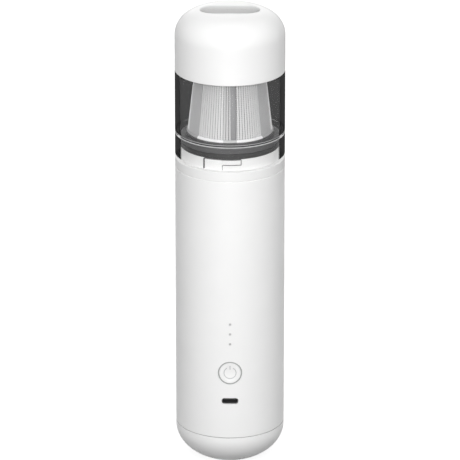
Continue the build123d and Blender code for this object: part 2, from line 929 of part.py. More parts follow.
with BuildPart() as motor_shaft:
    disc(shaft_radius, z_motor, z_impeller + impeller_height)
write(motor_shaft, "motor_shaft")

# Fan: housing on the motor, impeller on the shaft, shroud over it
boss_angle = full_turn / neck_screw_count
with BuildPart() as fan_housing:
    disc(housing_radius, z_motor_top, z_fan_floor)
    ring(housing_radius, housing_bore, z_motor_top, z_shroud)
    for point in neck_screw_points:
        disc(boss_radius, z_motor_top, z_shroud, point)
    for i in range(neck_screw_count):
        outlet_middle = half_turn + (i + 1 / 2) * boss_angle
        arc_band(
            housing_bore - outlet_margin,
            housing_bore - outlet_margin - outlet_width,
            outlet_middle - outlet_angle / 2,
            outlet_angle,
            z_motor_top - overrun,
            z_fan_floor + overrun,
            Mode.SUBTRACT,
        )
    disc(bearing_radius + slip_gap, z_motor_top - overrun, z_fan_floor + overrun, mode=Mode.SUBTRACT)
    for point in motor_screw_points:
        disc(screw_hole_radius, z_motor_top - overrun, z_fan_floor, point, Mode.SUBTRACT)
        disc(
            screw_head_radius + slip_gap,
            z_fan_floor - motor_screw_head_height,
            z_fan_floor + overrun,
            point,
            Mode.SUBTRACT,
        )
    for point in neck_screw_points:
        disc(screw_hole_radius, z_fan_floor, z_shroud + overrun, point, Mode.SUBTRACT)
write(fan_housing, "fan_housing")

with BuildPart() as motor_screws:
    for point in motor_screw_points:
        disc(screw_head_radius, z_fan_floor - motor_screw_head_height, z_fan_floor, point)
        disc(screw_radius, z_fan_floor - motor_screw_length, z_fan_floor, point)
write(motor_screws, "motor_screws")

blade_root = impeller_hub_radius - blade_thickness
blade_tip = impeller_radius - blade_thickness
with BuildPart() as impeller:
    disc(impeller_radius, z_impeller, z_impeller + impeller_plate)
    disc(impeller_hub_radius, z_impeller, z_impeller + impeller_height)
    with BuildSketch(Plane.XY.offset(z_impeller)) as blades:
        for i in range(blade_count):
            turn = i * full_turn / blade_count
            with BuildLine(mode=Mode.PRIVATE) as vane:
                ThreePointArc(
                    polar(blade_root, turn),
                    polar((blade_root + blade_tip) / 2, turn + blade_bow),
                    polar(blade_tip, turn + blade_sweep),
                )
            trace(vane.line, blade_thickness)
    extrude(amount=impeller_height)
    disc(
        shaft_radius + shaft_gap,
        z_impeller - overrun,
        z_impeller + impeller_height + overrun,
        mode=Mode.SUBTRACT,
    )
write(impeller, "impeller")

with BuildPart() as fan_shroud:
    disc(housing_radius, z_shroud, z_neck)
    disc(eye_radius + eye_lip_wall, z_shroud, z_neck + eye_lip_height)
    disc(eye_radius, z_shroud - overrun, z_neck + eye_lip_height + overrun, mode=Mode.SUBTRACT)
    for point in neck_screw_points:
        disc(screw_hole_radius, z_shroud - overrun, z_neck + overrun, point, Mode.SUBTRACT)
write(fan_shroud, "fan_shroud")

# Intake neck: a spigot with bosses, a finger grille and the bayonet lugs
z_neck_seat = z_neck + neck_boss_height
z_grille = z_neck + grille_rise
lug_start = entry_start + leg_angle - lug_play_angle - lug_angle
bayonet_turns = [i * full_turn / bayonet_count for i in range(bayonet_count)]
with BuildPart() as intake_neck:
    ring(neck_radius, neck_bore, z_neck, z_neck_top)
    for turn in bayonet_turns:
        arc_band(
            lug_radius,
            neck_bore + neck_wall / 2,
            lug_start + turn,
            lug_angle,
            z_neck_top - lug_height,
            z_neck_top,
        )
    for point in neck_screw_points:
        disc(boss_radius, z_neck, z_neck_seat, point)
    ring(grille_hub_radius, grille_hub_radius - grille_bar, z_grille, z_grille + grille_height)
    ring(grille_ring_radius, grille_ring_radius - grille_bar, z_grille, z_grille + grille_height)
    for i in range(grille_spokes):
        turn = i * full_turn / grille_spokes
        with BuildSketch(Plane.XY.offset(z_grille).rotated((0, 0, turn))) as spoke:
            with Locations((grille_hub_radius - grille_bar / 2, 0)):
                Rectangle(
                    neck_bore + neck_wall / 2 - grille_hub_radius,
                    grille_bar,
                    align=(Align.MIN, Align.CENTER),
                )
        extrude(spoke.sketch, amount=grille_height)
    for point in neck_screw_points:
        disc(screw_hole_radius, z_neck - overrun, z_neck_seat + overrun, point, Mode.SUBTRACT)
write(intake_neck, "intake_neck")

with BuildPart() as neck_screws:
    for point in neck_screw_points:
        screw(point, z_neck_seat, neck_screw_length)
write(neck_screws, "neck_screws")

# Filter: gasket, base, steel mesh cone, pleated core and end disc
filter_spigot_radius = neck_bore - filter_spigot_gap
filter_bore = filter_spigot_radius - filter_spigot_wall
with BuildPart() as filter_gasket:
    ring(filter_radius, filter_radius - gasket_width, z_neck_top, z_filter_base)
write(filter_gasket, "filter_gasket")

with BuildPart() as filter_base:
    edged_ring(filter_radius, filter_rim_bore, z_filter_base, z_filter_flange)
    ring(filter_rim_radius, filter_rim_bore, z_filter_flange, z_mesh)
    ring(filter_spigot_radius, filter_bore, z_neck_top - filter_spigot_height, z_filter_base)
write(filter_base, "filter_base")

with BuildPart() as filter_mesh:
    turned(
        [
            (mesh_base_radius - mesh_thickness, z_mesh),
            (mesh_base_radius, z_mesh),
            (mesh_top_radius, z_mesh_top),
            (mesh_top_radius - mesh_thickness, z_mesh_top),
        ]
    )
write(filter_mesh, "filter_mesh")


def pleats(peak):
    """Corners of the folded paper's section, out and in by turns."""
    corners = range(2 * pleat_count)
    return [polar(peak - pleat_depth * (i % 2), i * half_turn / pleat_count) for i in corners]


z_core_top = z_mesh_top - filter_plug_height
core_share = (z_core_top - z_mesh) / (z_mesh_top - z_mesh)
core_top_radius = core_base_radius + (mesh_top_radius - mesh_base_radius) * core_share
with BuildPart() as filter_core:
    for level, peak in ((z_mesh, core_base_radius), (z_core_top, core_top_radius)):
        with BuildSketch(Plane.XY.offset(level)):
            with BuildLine():
                Polyline(*pleats(peak), close=True)
            make_face()
    loft(ruled=True)
    inner_base = core_base_radius - pleat_depth - core_wall
    inner_top = core_top_radius - pleat_depth - core_wall
    turned([(0, z_mesh), (inner_base, z_mesh), (inner_top, z_core_top), (0, z_core_top)], Mode.SUBTRACT)
write(filter_core, "filter_core")

with BuildPart() as filter_top:
    disc(mesh_top_radius, z_mesh_top, z_filter_top)
    disc(mesh_top_radius - mesh_thickness - slip_gap, z_core_top, z_mesh_top)
write(filter_top, "filter_top")

# Bayonet collar: two L-shaped channels inside, open at the lower edge
z_slot = z_neck_top - lug_height - running_gap
z_slot_top = z_neck_top + running_gap
with BuildPart() as bayonet_collar:
    edged_ring(barrel_radius, collar_bore, z_collar, z_cup, high_edge=cup_joint_edge)
    ring(collar_bore + collar_lip_wall, collar_bore, z_cup, z_cup + collar_lip_height)
    for turn in bayonet_turns:
        arc_band(
            slot_radius,
            collar_bore - overrun,
            entry_start + turn,
            leg_angle,
            z_slot,
            z_slot_top,
            Mode.SUBTRACT,
        )
        arc_band(
            slot_radius,
            collar_bore - overrun,
            entry_start + turn,
            entry_angle,
            z_collar - overrun,
            z_slot_top,
            Mode.SUBTRACT,
        )
write(bayonet_collar, "bayonet_collar")

# Dust cup: a tube with an inner shelf and a spigot into the nozzle cap
z_shelf = z_cap - cup_shelf
z_seal = z_cap + seal_lift
seal_bore = cup_spigot_radius - seal_depth
with BuildPart() as dust_cup:
    edged_ring(barrel_radius, cup_bore, z_cup, z_cap, low_edge=cup_joint_edge)
    turned(
        [
            (cup_bore, z_shelf - cup_shelf_taper),
            (cup_bore, z_cap),
            (cup_spigot_radius, z_cap),
            (cup_spigot_radius, z_cap + cup_spigot_height),
            (cup_spigot_bore, z_cap + cup_spigot_height),
            (cup_spigot_bore, z_shelf),
        ]
    )
    ring(cup_spigot_radius + overrun, seal_bore, z_seal, z_seal + seal_height, Mode.SUBTRACT)
    ring(
        collar_bore + collar_lip_wall + slip_gap,
        cup_bore - overrun,
        z_cup - overrun,
        z_cup + collar_lip_height + slip_gap,
        Mode.SUBTRACT,
    )
write(dust_cup, "dust_cup")

with BuildPart() as cap_seal:
    ring(cap_bore - slip_gap, seal_bore + slip_gap, z_seal + slip_gap, z_seal + seal_height - slip_gap)
write(cap_seal, "cap_seal")

# Nozzle cap: a domed shell with the oval inlet in its crown
with BuildPart() as nozzle_cap:
    capped(barrel_radius, cap_corner_depth, cap_corner_height, z_cap, z_cap_top)
    capped(
        cap_bore,
        cap_corner_depth - cap_wall,
        cap_corner_height - cap_wall,
        z_cap - overrun,
        z_cap_top - cap_wall,
        Mode.SUBTRACT,
    )
    oval(inlet_length, inlet_width, z_cap_corner, z_cap_top + overrun, Mode.SUBTRACT)
    with BuildSketch(Plane.XY.offset(z_cap_top - inlet_edge)) as inlet_rim:
        SlotOverall(inlet_length, inlet_width)
    extrude(inlet_rim.sketch, amount=inlet_edge + overrun, taper=-rim_angle, mode=Mode.SUBTRACT)
    rim_edges = nozzle_cap.edges().group_by(Axis.Z)[0]
    chamfer(rim_edges.sort_by(SortBy.RADIUS)[-1], seam_chamfer)
write(nozzle_cap, "nozzle_cap")

# Inlet duct: an oval tube that fits under the crown, with two ears for the flap's pin
ear_middle = knuckle_length / 2 + running_gap + ear_thickness / 2
with BuildPart() as inlet_duct:
    oval(duct_length_outside, duct_width_outside, z_duct, z_cap_top)
    for side in (-1, 1):
        ear_low = side * ear_middle - ear_thickness / 2
        ear_high = side * ear_middle + ear_thickness / 2
        across(ear_radius, pin_back, z_pin, ear_thickness / 2, side * ear_middle)
        block(
            ear_low,
            ear_high,
            -(pin_back + ear_radius),
            -(duct_width_outside / 2 - duct_wall / 2),
            z_duct,
            z_duct + ear_height,
        )
        block(ear_low, ear_high, -(pin_back + ear_radius), -(pin_back - ear_radius), z_pin, z_duct)
    capped(
        cap_bore - slip_gap,
        cap_corner_depth - cap_wall,
        cap_corner_height - cap_wall,
        z_cap,
        z_cap_top - cap_wall - slip_gap,
        Mode.INTERSECT,
    )
    oval(inlet_length, inlet_width, z_duct - overrun, z_cap_top, Mode.SUBTRACT)
    across(pin_radius + shaft_gap, pin_back, z_pin, barrel_radius / 2, mode=Mode.SUBTRACT)
write(inlet_duct, "inlet_duct")

with BuildPart() as flap_pin:
    across(pin_radius, pin_back, z_pin, ear_middle + ear_thickness / 2)
write(flap_pin, "flap_pin")

with BuildPart() as inlet_flap:
    oval(inlet_length + 2 * flap_lap, inlet_width + 2 * flap_lap, z_flap_top - flap_thickness, z_flap_top)
    block(
        -knuckle_length / 2,
        knuckle_length / 2,
        -pin_back,
        -inlet_width / 2,
        z_flap_top - flap_thickness,
        z_flap_top,
    )
    across(knuckle_radius, pin_back, z_pin, knuckle_length / 2)
    across(pin_radius + shaft_gap, pin_back, z_pin, knuckle_length, mode=Mode.SUBTRACT)
write(inlet_flap, "inlet_flap")
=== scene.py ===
import math

import bpy
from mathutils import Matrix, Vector


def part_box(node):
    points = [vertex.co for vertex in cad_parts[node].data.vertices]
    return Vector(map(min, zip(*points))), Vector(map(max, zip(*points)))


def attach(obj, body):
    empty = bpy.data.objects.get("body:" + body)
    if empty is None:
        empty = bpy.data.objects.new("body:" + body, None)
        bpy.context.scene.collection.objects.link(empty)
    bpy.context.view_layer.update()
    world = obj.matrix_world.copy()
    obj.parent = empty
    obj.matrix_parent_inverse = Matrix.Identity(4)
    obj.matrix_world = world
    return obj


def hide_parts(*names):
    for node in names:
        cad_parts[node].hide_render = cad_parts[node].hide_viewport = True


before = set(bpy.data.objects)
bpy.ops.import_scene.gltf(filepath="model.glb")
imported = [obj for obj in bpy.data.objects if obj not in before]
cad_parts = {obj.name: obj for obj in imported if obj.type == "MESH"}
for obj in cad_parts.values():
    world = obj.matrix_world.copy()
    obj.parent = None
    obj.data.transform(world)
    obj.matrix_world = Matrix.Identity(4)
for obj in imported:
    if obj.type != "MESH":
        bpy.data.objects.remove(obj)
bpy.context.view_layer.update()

bl_info = {
    "name": "Hand vacuum dressing",
    "version": (1, 0, 0),
    "blender": (4, 5, 0),
    "location": "View3D > Sidebar > Hand vacuum",
    "description": "Finishes, woven filter, button mark, charging contacts and studio of a cordless hand vacuum",
    "category": "Object",
}

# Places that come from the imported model, in metres
MESH_LOW, MESH_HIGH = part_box("filter_mesh")
FILTER_TOP_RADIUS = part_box("filter_top")[1].x
CUP_LOW, CUP_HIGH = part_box("dust_cup")
COLLAR_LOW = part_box("bayonet_collar")[0].z
CAP_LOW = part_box("nozzle_cap")[0].z
BUTTON_LOW, BUTTON_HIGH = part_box("power_button")
TONGUE_LOW, TONGUE_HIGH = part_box("usb_tongue")
MILLIMETRE = 0.001
FULL_TURN = 2 * math.pi

# Depths in the smoke cup and its collar
GROOVE_HALF = 0.6 * MILLIMETRE
LIP_HALF = 0.3 * MILLIMETRE
COLLAR_SKIN = 0.45 * MILLIMETRE
CUP_SKIN = 0.8 * MILLIMETRE
CLEAR_FOOT = 1.7 * MILLIMETRE

# How far the wall turns from the eye, 0 straight on and 1 edge on, where the cover of the smoke plastic changes
NEAR_TURN = (0.55, 0.59)
FAR_TURN = (0.57, 0.61)
EDGE_ON_TURN = (0.74, 0.86)
CUP_EDGE_TURN = (0.42, 0.52)
OPEN_TURN = (0.53, 0.6)
STEP_TURN = 0.5
EDGE_ON_COVER = 0.995
CUP_EDGE_COVER = 0.12
LINE_COVER = 0.85
SIDE_LINE = 0.2
LEAST_LINE = 0.05
SHEEN = 0.06

# Ranges and tones that the plain finishes share
DRIFT_RANGE = (0.35, 0.65)
EDGE_LIKENESS = (0.99, 0.8)
BREAKUP_RANGE = (0.3, 0.6)
LEAST_EDGE_MARK = 0.3
BAND_FADE = (0.7, 1.0)
DUST_SCALE = 450.0
DUST_RANGE = (0.3, 0.7)
LEAST_DUST = 0.75
RIM_LIGHT_TURN = (0.78, 0.82)
JOINT_TONE = 0.45
GRAIN_HEIGHT = 0.1 * MILLIMETRE
BASE_JOINT_HALF = 0.26 * MILLIMETRE

# Small sizes of the filter's cone
RING_SEAT_SHARE = 0.4
BAND_FOOT_SHARE = 0.9
BAND_LIFT = 0.04 * MILLIMETRE
BAND_BEVEL = 0.03 * MILLIMETRE
STRIP_DEPTH = 0.12 * MILLIMETRE
HEM_GAP = 0.05 * MILLIMETRE
HEM_LIFT = 0.06 * MILLIMETRE
HEM_ROLL = 0.55 * MILLIMETRE
HEM_BEVEL = 0.1 * MILLIMETRE
SEAM_LIFT = 0.1 * MILLIMETRE
SEAM_BEVEL = 0.04 * MILLIMETRE
# Half the angle of the front sector painted darker, a painted shade for the dark reflection at the cone's front
FRONT_SHADE_TURN = math.radians(9)

# Small sizes of the button's print
MARK_STANDOFF = MILLIMETRE
BAR_DROP_SHARE = 0.1
PRINT_LIFT = 0.01 * MILLIMETRE
PRINT_DEPTH = 0.03 * MILLIMETRE

# Input sockets and output socket of Blender's mix node for each kind of value
MIX_SOCKETS = {"FLOAT": ((0, 2, 3), 0), "RGBA": ((0, 6, 7), 2)}

# Size, place and aim of the soft lamps
KEY_LAMP = {"size": 0.5, "place": (0, -0.6, 0.24), "aim": (0, 0, 0.165)}
BACK_LAMP = {"size": 0.7, "place": (0, 1.0, 0.55), "aim": (0, 0, 0.13)}
TOP_LAMP = {"size": 0.6, "place": (0, -0.1, 1.2), "aim": (0, 0, 0.2)}

# Floor and camera
FLOOR_RADIUS = 4.0
FLOOR_SHADE = (0.3, 0.3, 0.3, 1)
FLOOR_GLOW = 0.85
WHITE = (1, 1, 1, 1)
SENSOR_WIDTH = 36.0
FAR_CLIP = 50.0


class FinishColours(bpy.types.PropertyGroup):
    """Colours of the finishes that show most, and how much the smoke plastic hides"""

    white_shell: bpy.props.FloatVectorProperty(
        name="White shell",
        description="Polished white of the barrel, end cap, nozzle and button",
        subtype="COLOR", size=4, min=0, max=1, default=(0.9, 0.9, 0.897, 1),
    )
    satin_white: bpy.props.FloatVectorProperty(
        name="Satin white",
        description="Finer white of the shoulder ring and the neck",
        subtype="COLOR", size=4, min=0, max=1, default=(0.88, 0.88, 0.876, 1),
    )
    smoke_body: bpy.props.FloatVectorProperty(
        name="Smoke",
        description="Colour of the smoke plastic where it is thick",
        subtype="COLOR", size=4, min=0, max=1, default=(0.012, 0.012, 0.013, 1),
    )
    # Light grey painted on the two lips of the joint between cup and collar, a painted highlight of their chamfers
    smoke_lip_glint: bpy.props.FloatVectorProperty(
        name="Smoke, joint",
        description="Light grey of the edges where cup and collar meet",
        subtype="COLOR", size=4, min=0, max=1, default=(0.62, 0.62, 0.625, 1),
    )
    smoke_channel: bpy.props.FloatVectorProperty(
        name="Smoke, channels",
        description="Grey of the edges of the bayonet channels",
        subtype="COLOR", size=4, min=0, max=1, default=(0.1, 0.1, 0.103, 1),
    )
    near_cover: bpy.props.FloatProperty(
        name="Near wall", description="How much the thin near wall of the cup hides",
        default=0.01, min=0, max=1, subtype="FACTOR",
    )
    far_cover: bpy.props.FloatProperty(
        name="Far wall", description="How much the far wall of the cup hides",
        default=0.945, min=0, max=1, subtype="FACTOR",
    )
    # The groove's cover paints shade into the groove between cup and collar
    groove_shade: bpy.props.FloatProperty(
        name="Groove", description="How much the groove between cup and collar hides",
        default=0.55, min=0, max=1, subtype="FACTOR",
    )
    side_cover: bpy.props.FloatProperty(
        name="Side wall", description="How much the cup hides where its wall is seen along its length",
        default=0.98, min=0, max=1, subtype="FACTOR",
    )
    filter_grey: bpy.props.FloatVectorProperty(
        name="Filter grey",
        description="Moulded grey of the filter's base and top",
        subtype="COLOR", size=4, min=0, max=1, default=(0.13, 0.13, 0.132, 1),
    )
    mark_grey: bpy.props.FloatVectorProperty(
        name="Mark grey",
        description="Print of the power mark on the button",
        subtype="COLOR", size=4, min=0, max=1, default=(0.56, 0.565, 0.57, 1),
    )


class FilterSizes(bpy.types.PropertyGroup):
    """Sizes of the woven filter cone"""

    wire_count: bpy.props.IntProperty(
        name="Wires", description="Upright flat wires round the cone", default=92, min=12,
    )
    wire_width: bpy.props.FloatProperty(
        name="Wire width", description="Width of one flat wire at the foot of the cone",
        default=0.00118, subtype="DISTANCE", unit="LENGTH",
    )
    wire_depth: bpy.props.FloatProperty(
        name="Wire depth", description="Thickness of one flat wire",
        default=0.00034, subtype="DISTANCE", unit="LENGTH",
    )
    ring_count: bpy.props.IntProperty(
        name="Rings", description="Wire rings from the base to the top", default=36, min=4,
    )
    ring_radius: bpy.props.FloatProperty(
        name="Ring wire radius", description="Radius of the wire of one ring",
        default=0.00015, subtype="DISTANCE", unit="LENGTH",
    )
    band_start: bpy.props.FloatProperty(
        name="Band start", description="Angle from the front or the back at which the smooth side bands start",
        default=math.radians(49), subtype="ANGLE", unit="ROTATION",
    )
    hem_height: bpy.props.FloatProperty(
        name="Hem height", description="Height of the rolled steel hem at the base",
        default=0.0017, subtype="DISTANCE", unit="LENGTH",
    )
    seam_width: bpy.props.FloatProperty(
        name="Seam width", description="Width of the strip over the joint of the mesh",
        default=0.003, subtype="DISTANCE", unit="LENGTH",
    )
    seam_turn: bpy.props.FloatProperty(
        name="Seam place", description="Angle of the seam from the front, towards +X",
        default=math.radians(4.8), subtype="ANGLE", unit="ROTATION",
    )


class MarkSizes(bpy.types.PropertyGroup):
    """Sizes of the power mark on the button"""

    ring_radius: bpy.props.FloatProperty(
        name="Ring radius", description="Middle radius of the open ring",
        default=0.0033, subtype="DISTANCE", unit="LENGTH",
    )
    line_width: bpy.props.FloatProperty(
        name="Line width", description="Width of the ring and the bar",
        default=0.0005, subtype="DISTANCE", unit="LENGTH",
    )
    ring_gap: bpy.props.FloatProperty(
        name="Ring gap", description="Opening of the ring round the bar",
        default=math.radians(56), subtype="ANGLE", unit="ROTATION",
    )
    bar_length: bpy.props.FloatProperty(
        name="Bar length", description="Length of the upright bar",
        default=0.0023, subtype="DISTANCE", unit="LENGTH",
    )


class StudioSettings(bpy.types.PropertyGroup):
    """Light, floor and camera"""

    low_ambient: bpy.props.FloatProperty(
        name="Low ambient", description="Strength of the light from the horizon", default=0.34, min=0,
    )
    high_ambient: bpy.props.FloatProperty(
        name="High ambient", description="Strength of the light from overhead", default=1.05, min=0,
    )
    key_power: bpy.props.FloatProperty(
        name="Key power", description="Power of the soft lamp in front", default=2.95, min=0,
        subtype="POWER", unit="POWER",
    )
    back_power: bpy.props.FloatProperty(
        name="Back power", description="Power of the soft lamp behind", default=1.6, min=0,
        subtype="POWER", unit="POWER",
    )
    top_power: bpy.props.FloatProperty(
        name="Top power", description="Power of the soft lamp overhead", default=0.2, min=0,
        subtype="POWER", unit="POWER",
    )
    floor_bounce: bpy.props.FloatVectorProperty(
        name="Floor bounce", description="Tone of the floor as it lights the object",
        subtype="COLOR", size=4, min=0, max=1, default=(0.02, 0.02, 0.02, 1),
    )
    lens: bpy.props.FloatProperty(
        name="Lens", description="Focal length of the camera", default=327.4, min=1, unit="CAMERA",
    )
    pitch: bpy.props.FloatProperty(
        name="Pitch", description="How far the camera looks down", default=math.radians(20.0),
        subtype="ANGLE", unit="ROTATION",
    )
    distance: bpy.props.FloatProperty(
        name="Distance", description="From the camera to the barrel's axis", default=2.3,
        subtype="DISTANCE", unit="LENGTH",
    )
    aim_height: bpy.props.FloatProperty(
        name="Aim height", description="Height on the barrel's axis that the camera looks at", default=0.13026,
        subtype="DISTANCE", unit="LENGTH",
    )


def clear_selection():
    """Leave edit mode and deselect everything"""
    if bpy.context.mode != "OBJECT":
        bpy.ops.object.mode_set(mode="OBJECT")
    bpy.ops.object.select_all(action="DESELECT")


def named_piece(name):
    """Name the object that was just added, and its mesh"""
    piece = bpy.context.view_layer.objects.active
    piece.name = name
    piece.data.name = name
    return piece


def settle(piece):
    """Put the piece's place, turn and scale into its mesh, and its faces outwards"""
    if bpy.context.mode != "EDIT_MESH":
        bpy.ops.object.mode_set(mode="EDIT")
    bpy.ops.mesh.select_all(action="SELECT")
    bpy.ops.mesh.normals_make_consistent(inside=False)
    bpy.ops.object.mode_set(mode="OBJECT")
    piece.select_set(True)
    bpy.ops.object.transform_apply(location=True, rotation=True, scale=True)


def apply_modifier(piece, kind, **values):
    """Add one modifier to the piece, set it and apply it"""
    bpy.ops.object.modifier_add(type=kind)
    modifier = piece.modifiers[-1]
    for name, value in values.items():
        setattr(modifier, name, value)
    bpy.ops.object.modifier_apply(modifier=modifier.name)


def delete_faces(piece, chosen):
    """Delete the faces whose centre is chosen, and stay in edit mode"""
    bpy.ops.mesh.select_all(action="DESELECT")
    bpy.ops.mesh.select_mode(type="FACE")
    bpy.ops.object.mode_set(mode="OBJECT")
    for face in piece.data.polygons:
        face.select = chosen(face.center)
    bpy.ops.object.mode_set(mode="EDIT")
    bpy.ops.mesh.delete(type="FACE")
    bpy.ops.mesh.select_mode(type="VERT")


def smooth(piece, angle=math.radians(35)):
    """Smooth shading with crisp edges"""
    clear_selection()
    piece.select_set(True)
    bpy.context.view_layer.objects.active = piece
    bpy.ops.object.shade_smooth_by_angle(angle=angle)


def finish_piece(piece, material, body):
    """Give a new piece its material and the body that it moves with"""
    piece.data.materials.clear()
    piece.data.materials.append(material)
    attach(piece, body)


def paint(material, *nodes):
    """Give CAD nodes a finished material"""
    for name in nodes:
        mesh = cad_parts[name].data
        mesh.materials.clear()
        mesh.materials.append(material)


def turned_shell(name, points, segments):
    """A closed ring round the barrel's axis, drawn out loop by loop from (radius, height) points"""
    clear_selection()
    first_radius, first_height = points[0]
    bpy.ops.mesh.primitive_circle_add(vertices=segments, radius=first_radius, location=(0, 0, first_height))
    piece = named_piece(name)
    bpy.ops.object.transform_apply(location=True)
    bpy.ops.object.mode_set(mode="EDIT")
    bpy.ops.mesh.select_all(action="SELECT")
    for (radius, height), (next_radius, next_height) in zip(points, points[1:] + points[:1]):
        bpy.ops.mesh.extrude_region_move(TRANSFORM_OT_translate={"value": (0, 0, next_height - height)})
        ratio = next_radius / radius
        bpy.ops.transform.resize(value=(ratio, ratio, 1), center_override=(0, 0, next_height))
    bpy.ops.mesh.select_all(action="SELECT")
    bpy.ops.mesh.remove_doubles(threshold=0.001 * MILLIMETRE)
    settle(piece)
    return piece


def set_socket(tree, socket, value):
    """Link the socket where the value comes from another one, or else set the value on it"""
    if isinstance(value, bpy.types.NodeSocket):
        tree.links.new(value, socket)
    else:
        socket.default_value = value


def new_group(name, inputs, outputs):
    """An empty shader group, with inputs given as (name, kind, default) and outputs as (name, kind)"""
    group = bpy.data.node_groups.new(name, "ShaderNodeTree")
    for socket_name, kind, default in inputs:
        socket = group.interface.new_socket(socket_name, in_out="INPUT", socket_type=kind)
        socket.default_value = default
    for socket_name, kind in outputs:
        group.interface.new_socket(socket_name, in_out="OUTPUT", socket_type=kind)
    start = group.nodes.new("NodeGroupInput")
    end = group.nodes.new("NodeGroupOutput")
    return group, start, end


def new_material(name):
    """A material with its node tree and its Principled surface"""
    material = bpy.data.materials.new(name)
    material.use_nodes = True
    return material, material.node_tree, material.node_tree.nodes["Principled BSDF"]


def add_node(tree, kind, **values):
    """A node with its settings and inputs, each input a value or the socket that it comes from"""
    node = tree.nodes.new(kind)
    for name, value in values.items():
        if name in node.inputs:
            set_socket(tree, node.inputs[name], value)
        else:
            setattr(node, name, value)
    return node


def math_node(tree, operation, first, second=0.0):
    """One sum of two values, each a number or a socket"""
    node = add_node(tree, "ShaderNodeMath", operation=operation)
    for socket, value in zip(node.inputs, (first, second)):
        set_socket(tree, socket, value)
    return node.outputs["Value"]


def vector_node(tree, operation, first, second=(0, 0, 0)):
    """The outputs of one sum of two vectors, each a vector or a socket"""
    node = add_node(tree, "ShaderNodeVectorMath", operation=operation)
    for socket, value in zip(node.inputs, (first, second)):
        set_socket(tree, socket, value)
    return node.outputs


def map_range(tree, value, low, high, to_low, to_high):
    """A value brought from one range to another, held at its ends"""
    node = add_node(tree, "ShaderNodeMapRange")
    ends = {"Value": value, "From Min": low, "From Max": high, "To Min": to_low, "To Max": to_high}
    for name, end in ends.items():
        set_socket(tree, node.inputs[name], end)
    return node.outputs["Result"]


def mix_values(tree, share, first, second, kind="FLOAT"):
    """A value between two, each a plain one or a socket"""
    inputs, output = MIX_SOCKETS[kind]
    node = add_node(tree, "ShaderNodeMix", data_type=kind)
    for index, value in zip(inputs, (share, first, second)):
        set_socket(tree, node.inputs[index], value)
    return node.outputs[output]


def mix_colours(tree, share, first, second):
    """A colour between two, each a colour or a socket"""
    return mix_values(tree, share, first, second, kind="RGBA")


def shaded(colour, share):
    """A colour made deeper or lighter by a share"""
    return tuple(min(1.0, channel * share) for channel in colour[:3]) + (1,)


def grain_group():
    """Fine moulding or rolling grain: a height for bump and a roughness that drifts over the surface"""
    group, start, end = new_group(
        "surface_grain",
        [("Grain Scale", "NodeSocketFloat", 2500.0), ("Drift Scale", "NodeSocketFloat", 60.0),
         ("Low Roughness", "NodeSocketFloat", 0.3), ("High Roughness", "NodeSocketFloat", 0.4),
         ("Stretch", "NodeSocketVector", (1, 1, 1))],
        [("Height", "NodeSocketFloat"), ("Roughness", "NodeSocketFloat"), ("Drift", "NodeSocketFloat")],
    )
    place = add_node(group, "ShaderNodeTexCoord").outputs["Object"]
    where = vector_node(group, "MULTIPLY", place, start.outputs["Stretch"])["Vector"]
    fine = add_node(group, "ShaderNodeTexNoise", Vector=where, Scale=start.outputs["Grain Scale"], Detail=3.0)
    drift = add_node(group, "ShaderNodeTexNoise", Vector=where, Scale=start.outputs["Drift Scale"], Detail=4.0)
    rough = map_range(
        group, drift.outputs["Fac"], *DRIFT_RANGE, start.outputs["Low Roughness"], start.outputs["High Roughness"]
    )
    group.links.new(fine.outputs["Fac"], end.inputs["Height"])
    group.links.new(rough, end.inputs["Roughness"])
    group.links.new(drift.outputs["Fac"], end.inputs["Drift"])
    return group


def edge_group():
    """Edges toned for wear on most finishes, for painted shade in the white shells' seams and for painted
    highlights on the filter's grey parts: a mask where the surface turns sharply, broken up by noise
    """
    group, start, end = new_group(
        "edges_for_wear_and_painted_light",
        [("Width", "NodeSocketFloat", 0.0003), ("Breakup Scale", "NodeSocketFloat", 300.0)],
        [("Mask", "NodeSocketFloat")],
    )
    rounded = add_node(group, "ShaderNodeBevel", samples=4, Radius=start.outputs["Width"]).outputs["Normal"]
    straight = add_node(group, "ShaderNodeNewGeometry").outputs["Normal"]
    alike = vector_node(group, "DOT_PRODUCT", rounded, straight)["Value"]
    edge = map_range(group, alike, *EDGE_LIKENESS, 0.0, 1.0)
    place = add_node(group, "ShaderNodeTexCoord").outputs["Object"]
    noise = add_node(group, "ShaderNodeTexNoise", Vector=place, Scale=start.outputs["Breakup Scale"], Detail=2.0)
    broken = map_range(group, noise.outputs["Fac"], *BREAKUP_RANGE, LEAST_EDGE_MARK, 1.0)
    group.links.new(math_node(group, "MULTIPLY", edge, broken), end.inputs["Mask"])
    return group


def joint_group():
    """Shadow and dust in the joint between two shells: a mask in a narrow band at one height"""
    group, start, end = new_group(
        "joint_line",
        [("Height", "NodeSocketFloat", 0.0), ("Width", "NodeSocketFloat", 0.0003)],
        [("Mask", "NodeSocketFloat")],
    )
    place = add_node(group, "ShaderNodeTexCoord").outputs["Object"]
    height = add_node(group, "ShaderNodeSeparateXYZ", Vector=place).outputs["Z"]
    away = math_node(group, "ABSOLUTE", math_node(group, "SUBTRACT", height, start.outputs["Height"]))
    band = map_range(group, math_node(group, "DIVIDE", away, start.outputs["Width"]), *BAND_FADE, 1.0, 0.0)
    noise = add_node(group, "ShaderNodeTexNoise", Vector=place, Scale=DUST_SCALE, Detail=3.0)
    uneven = map_range(group, noise.outputs["Fac"], *DUST_RANGE, LEAST_DUST, 1.0)
    group.links.new(math_node(group, "MULTIPLY", band, uneven), end.inputs["Mask"])
    return group


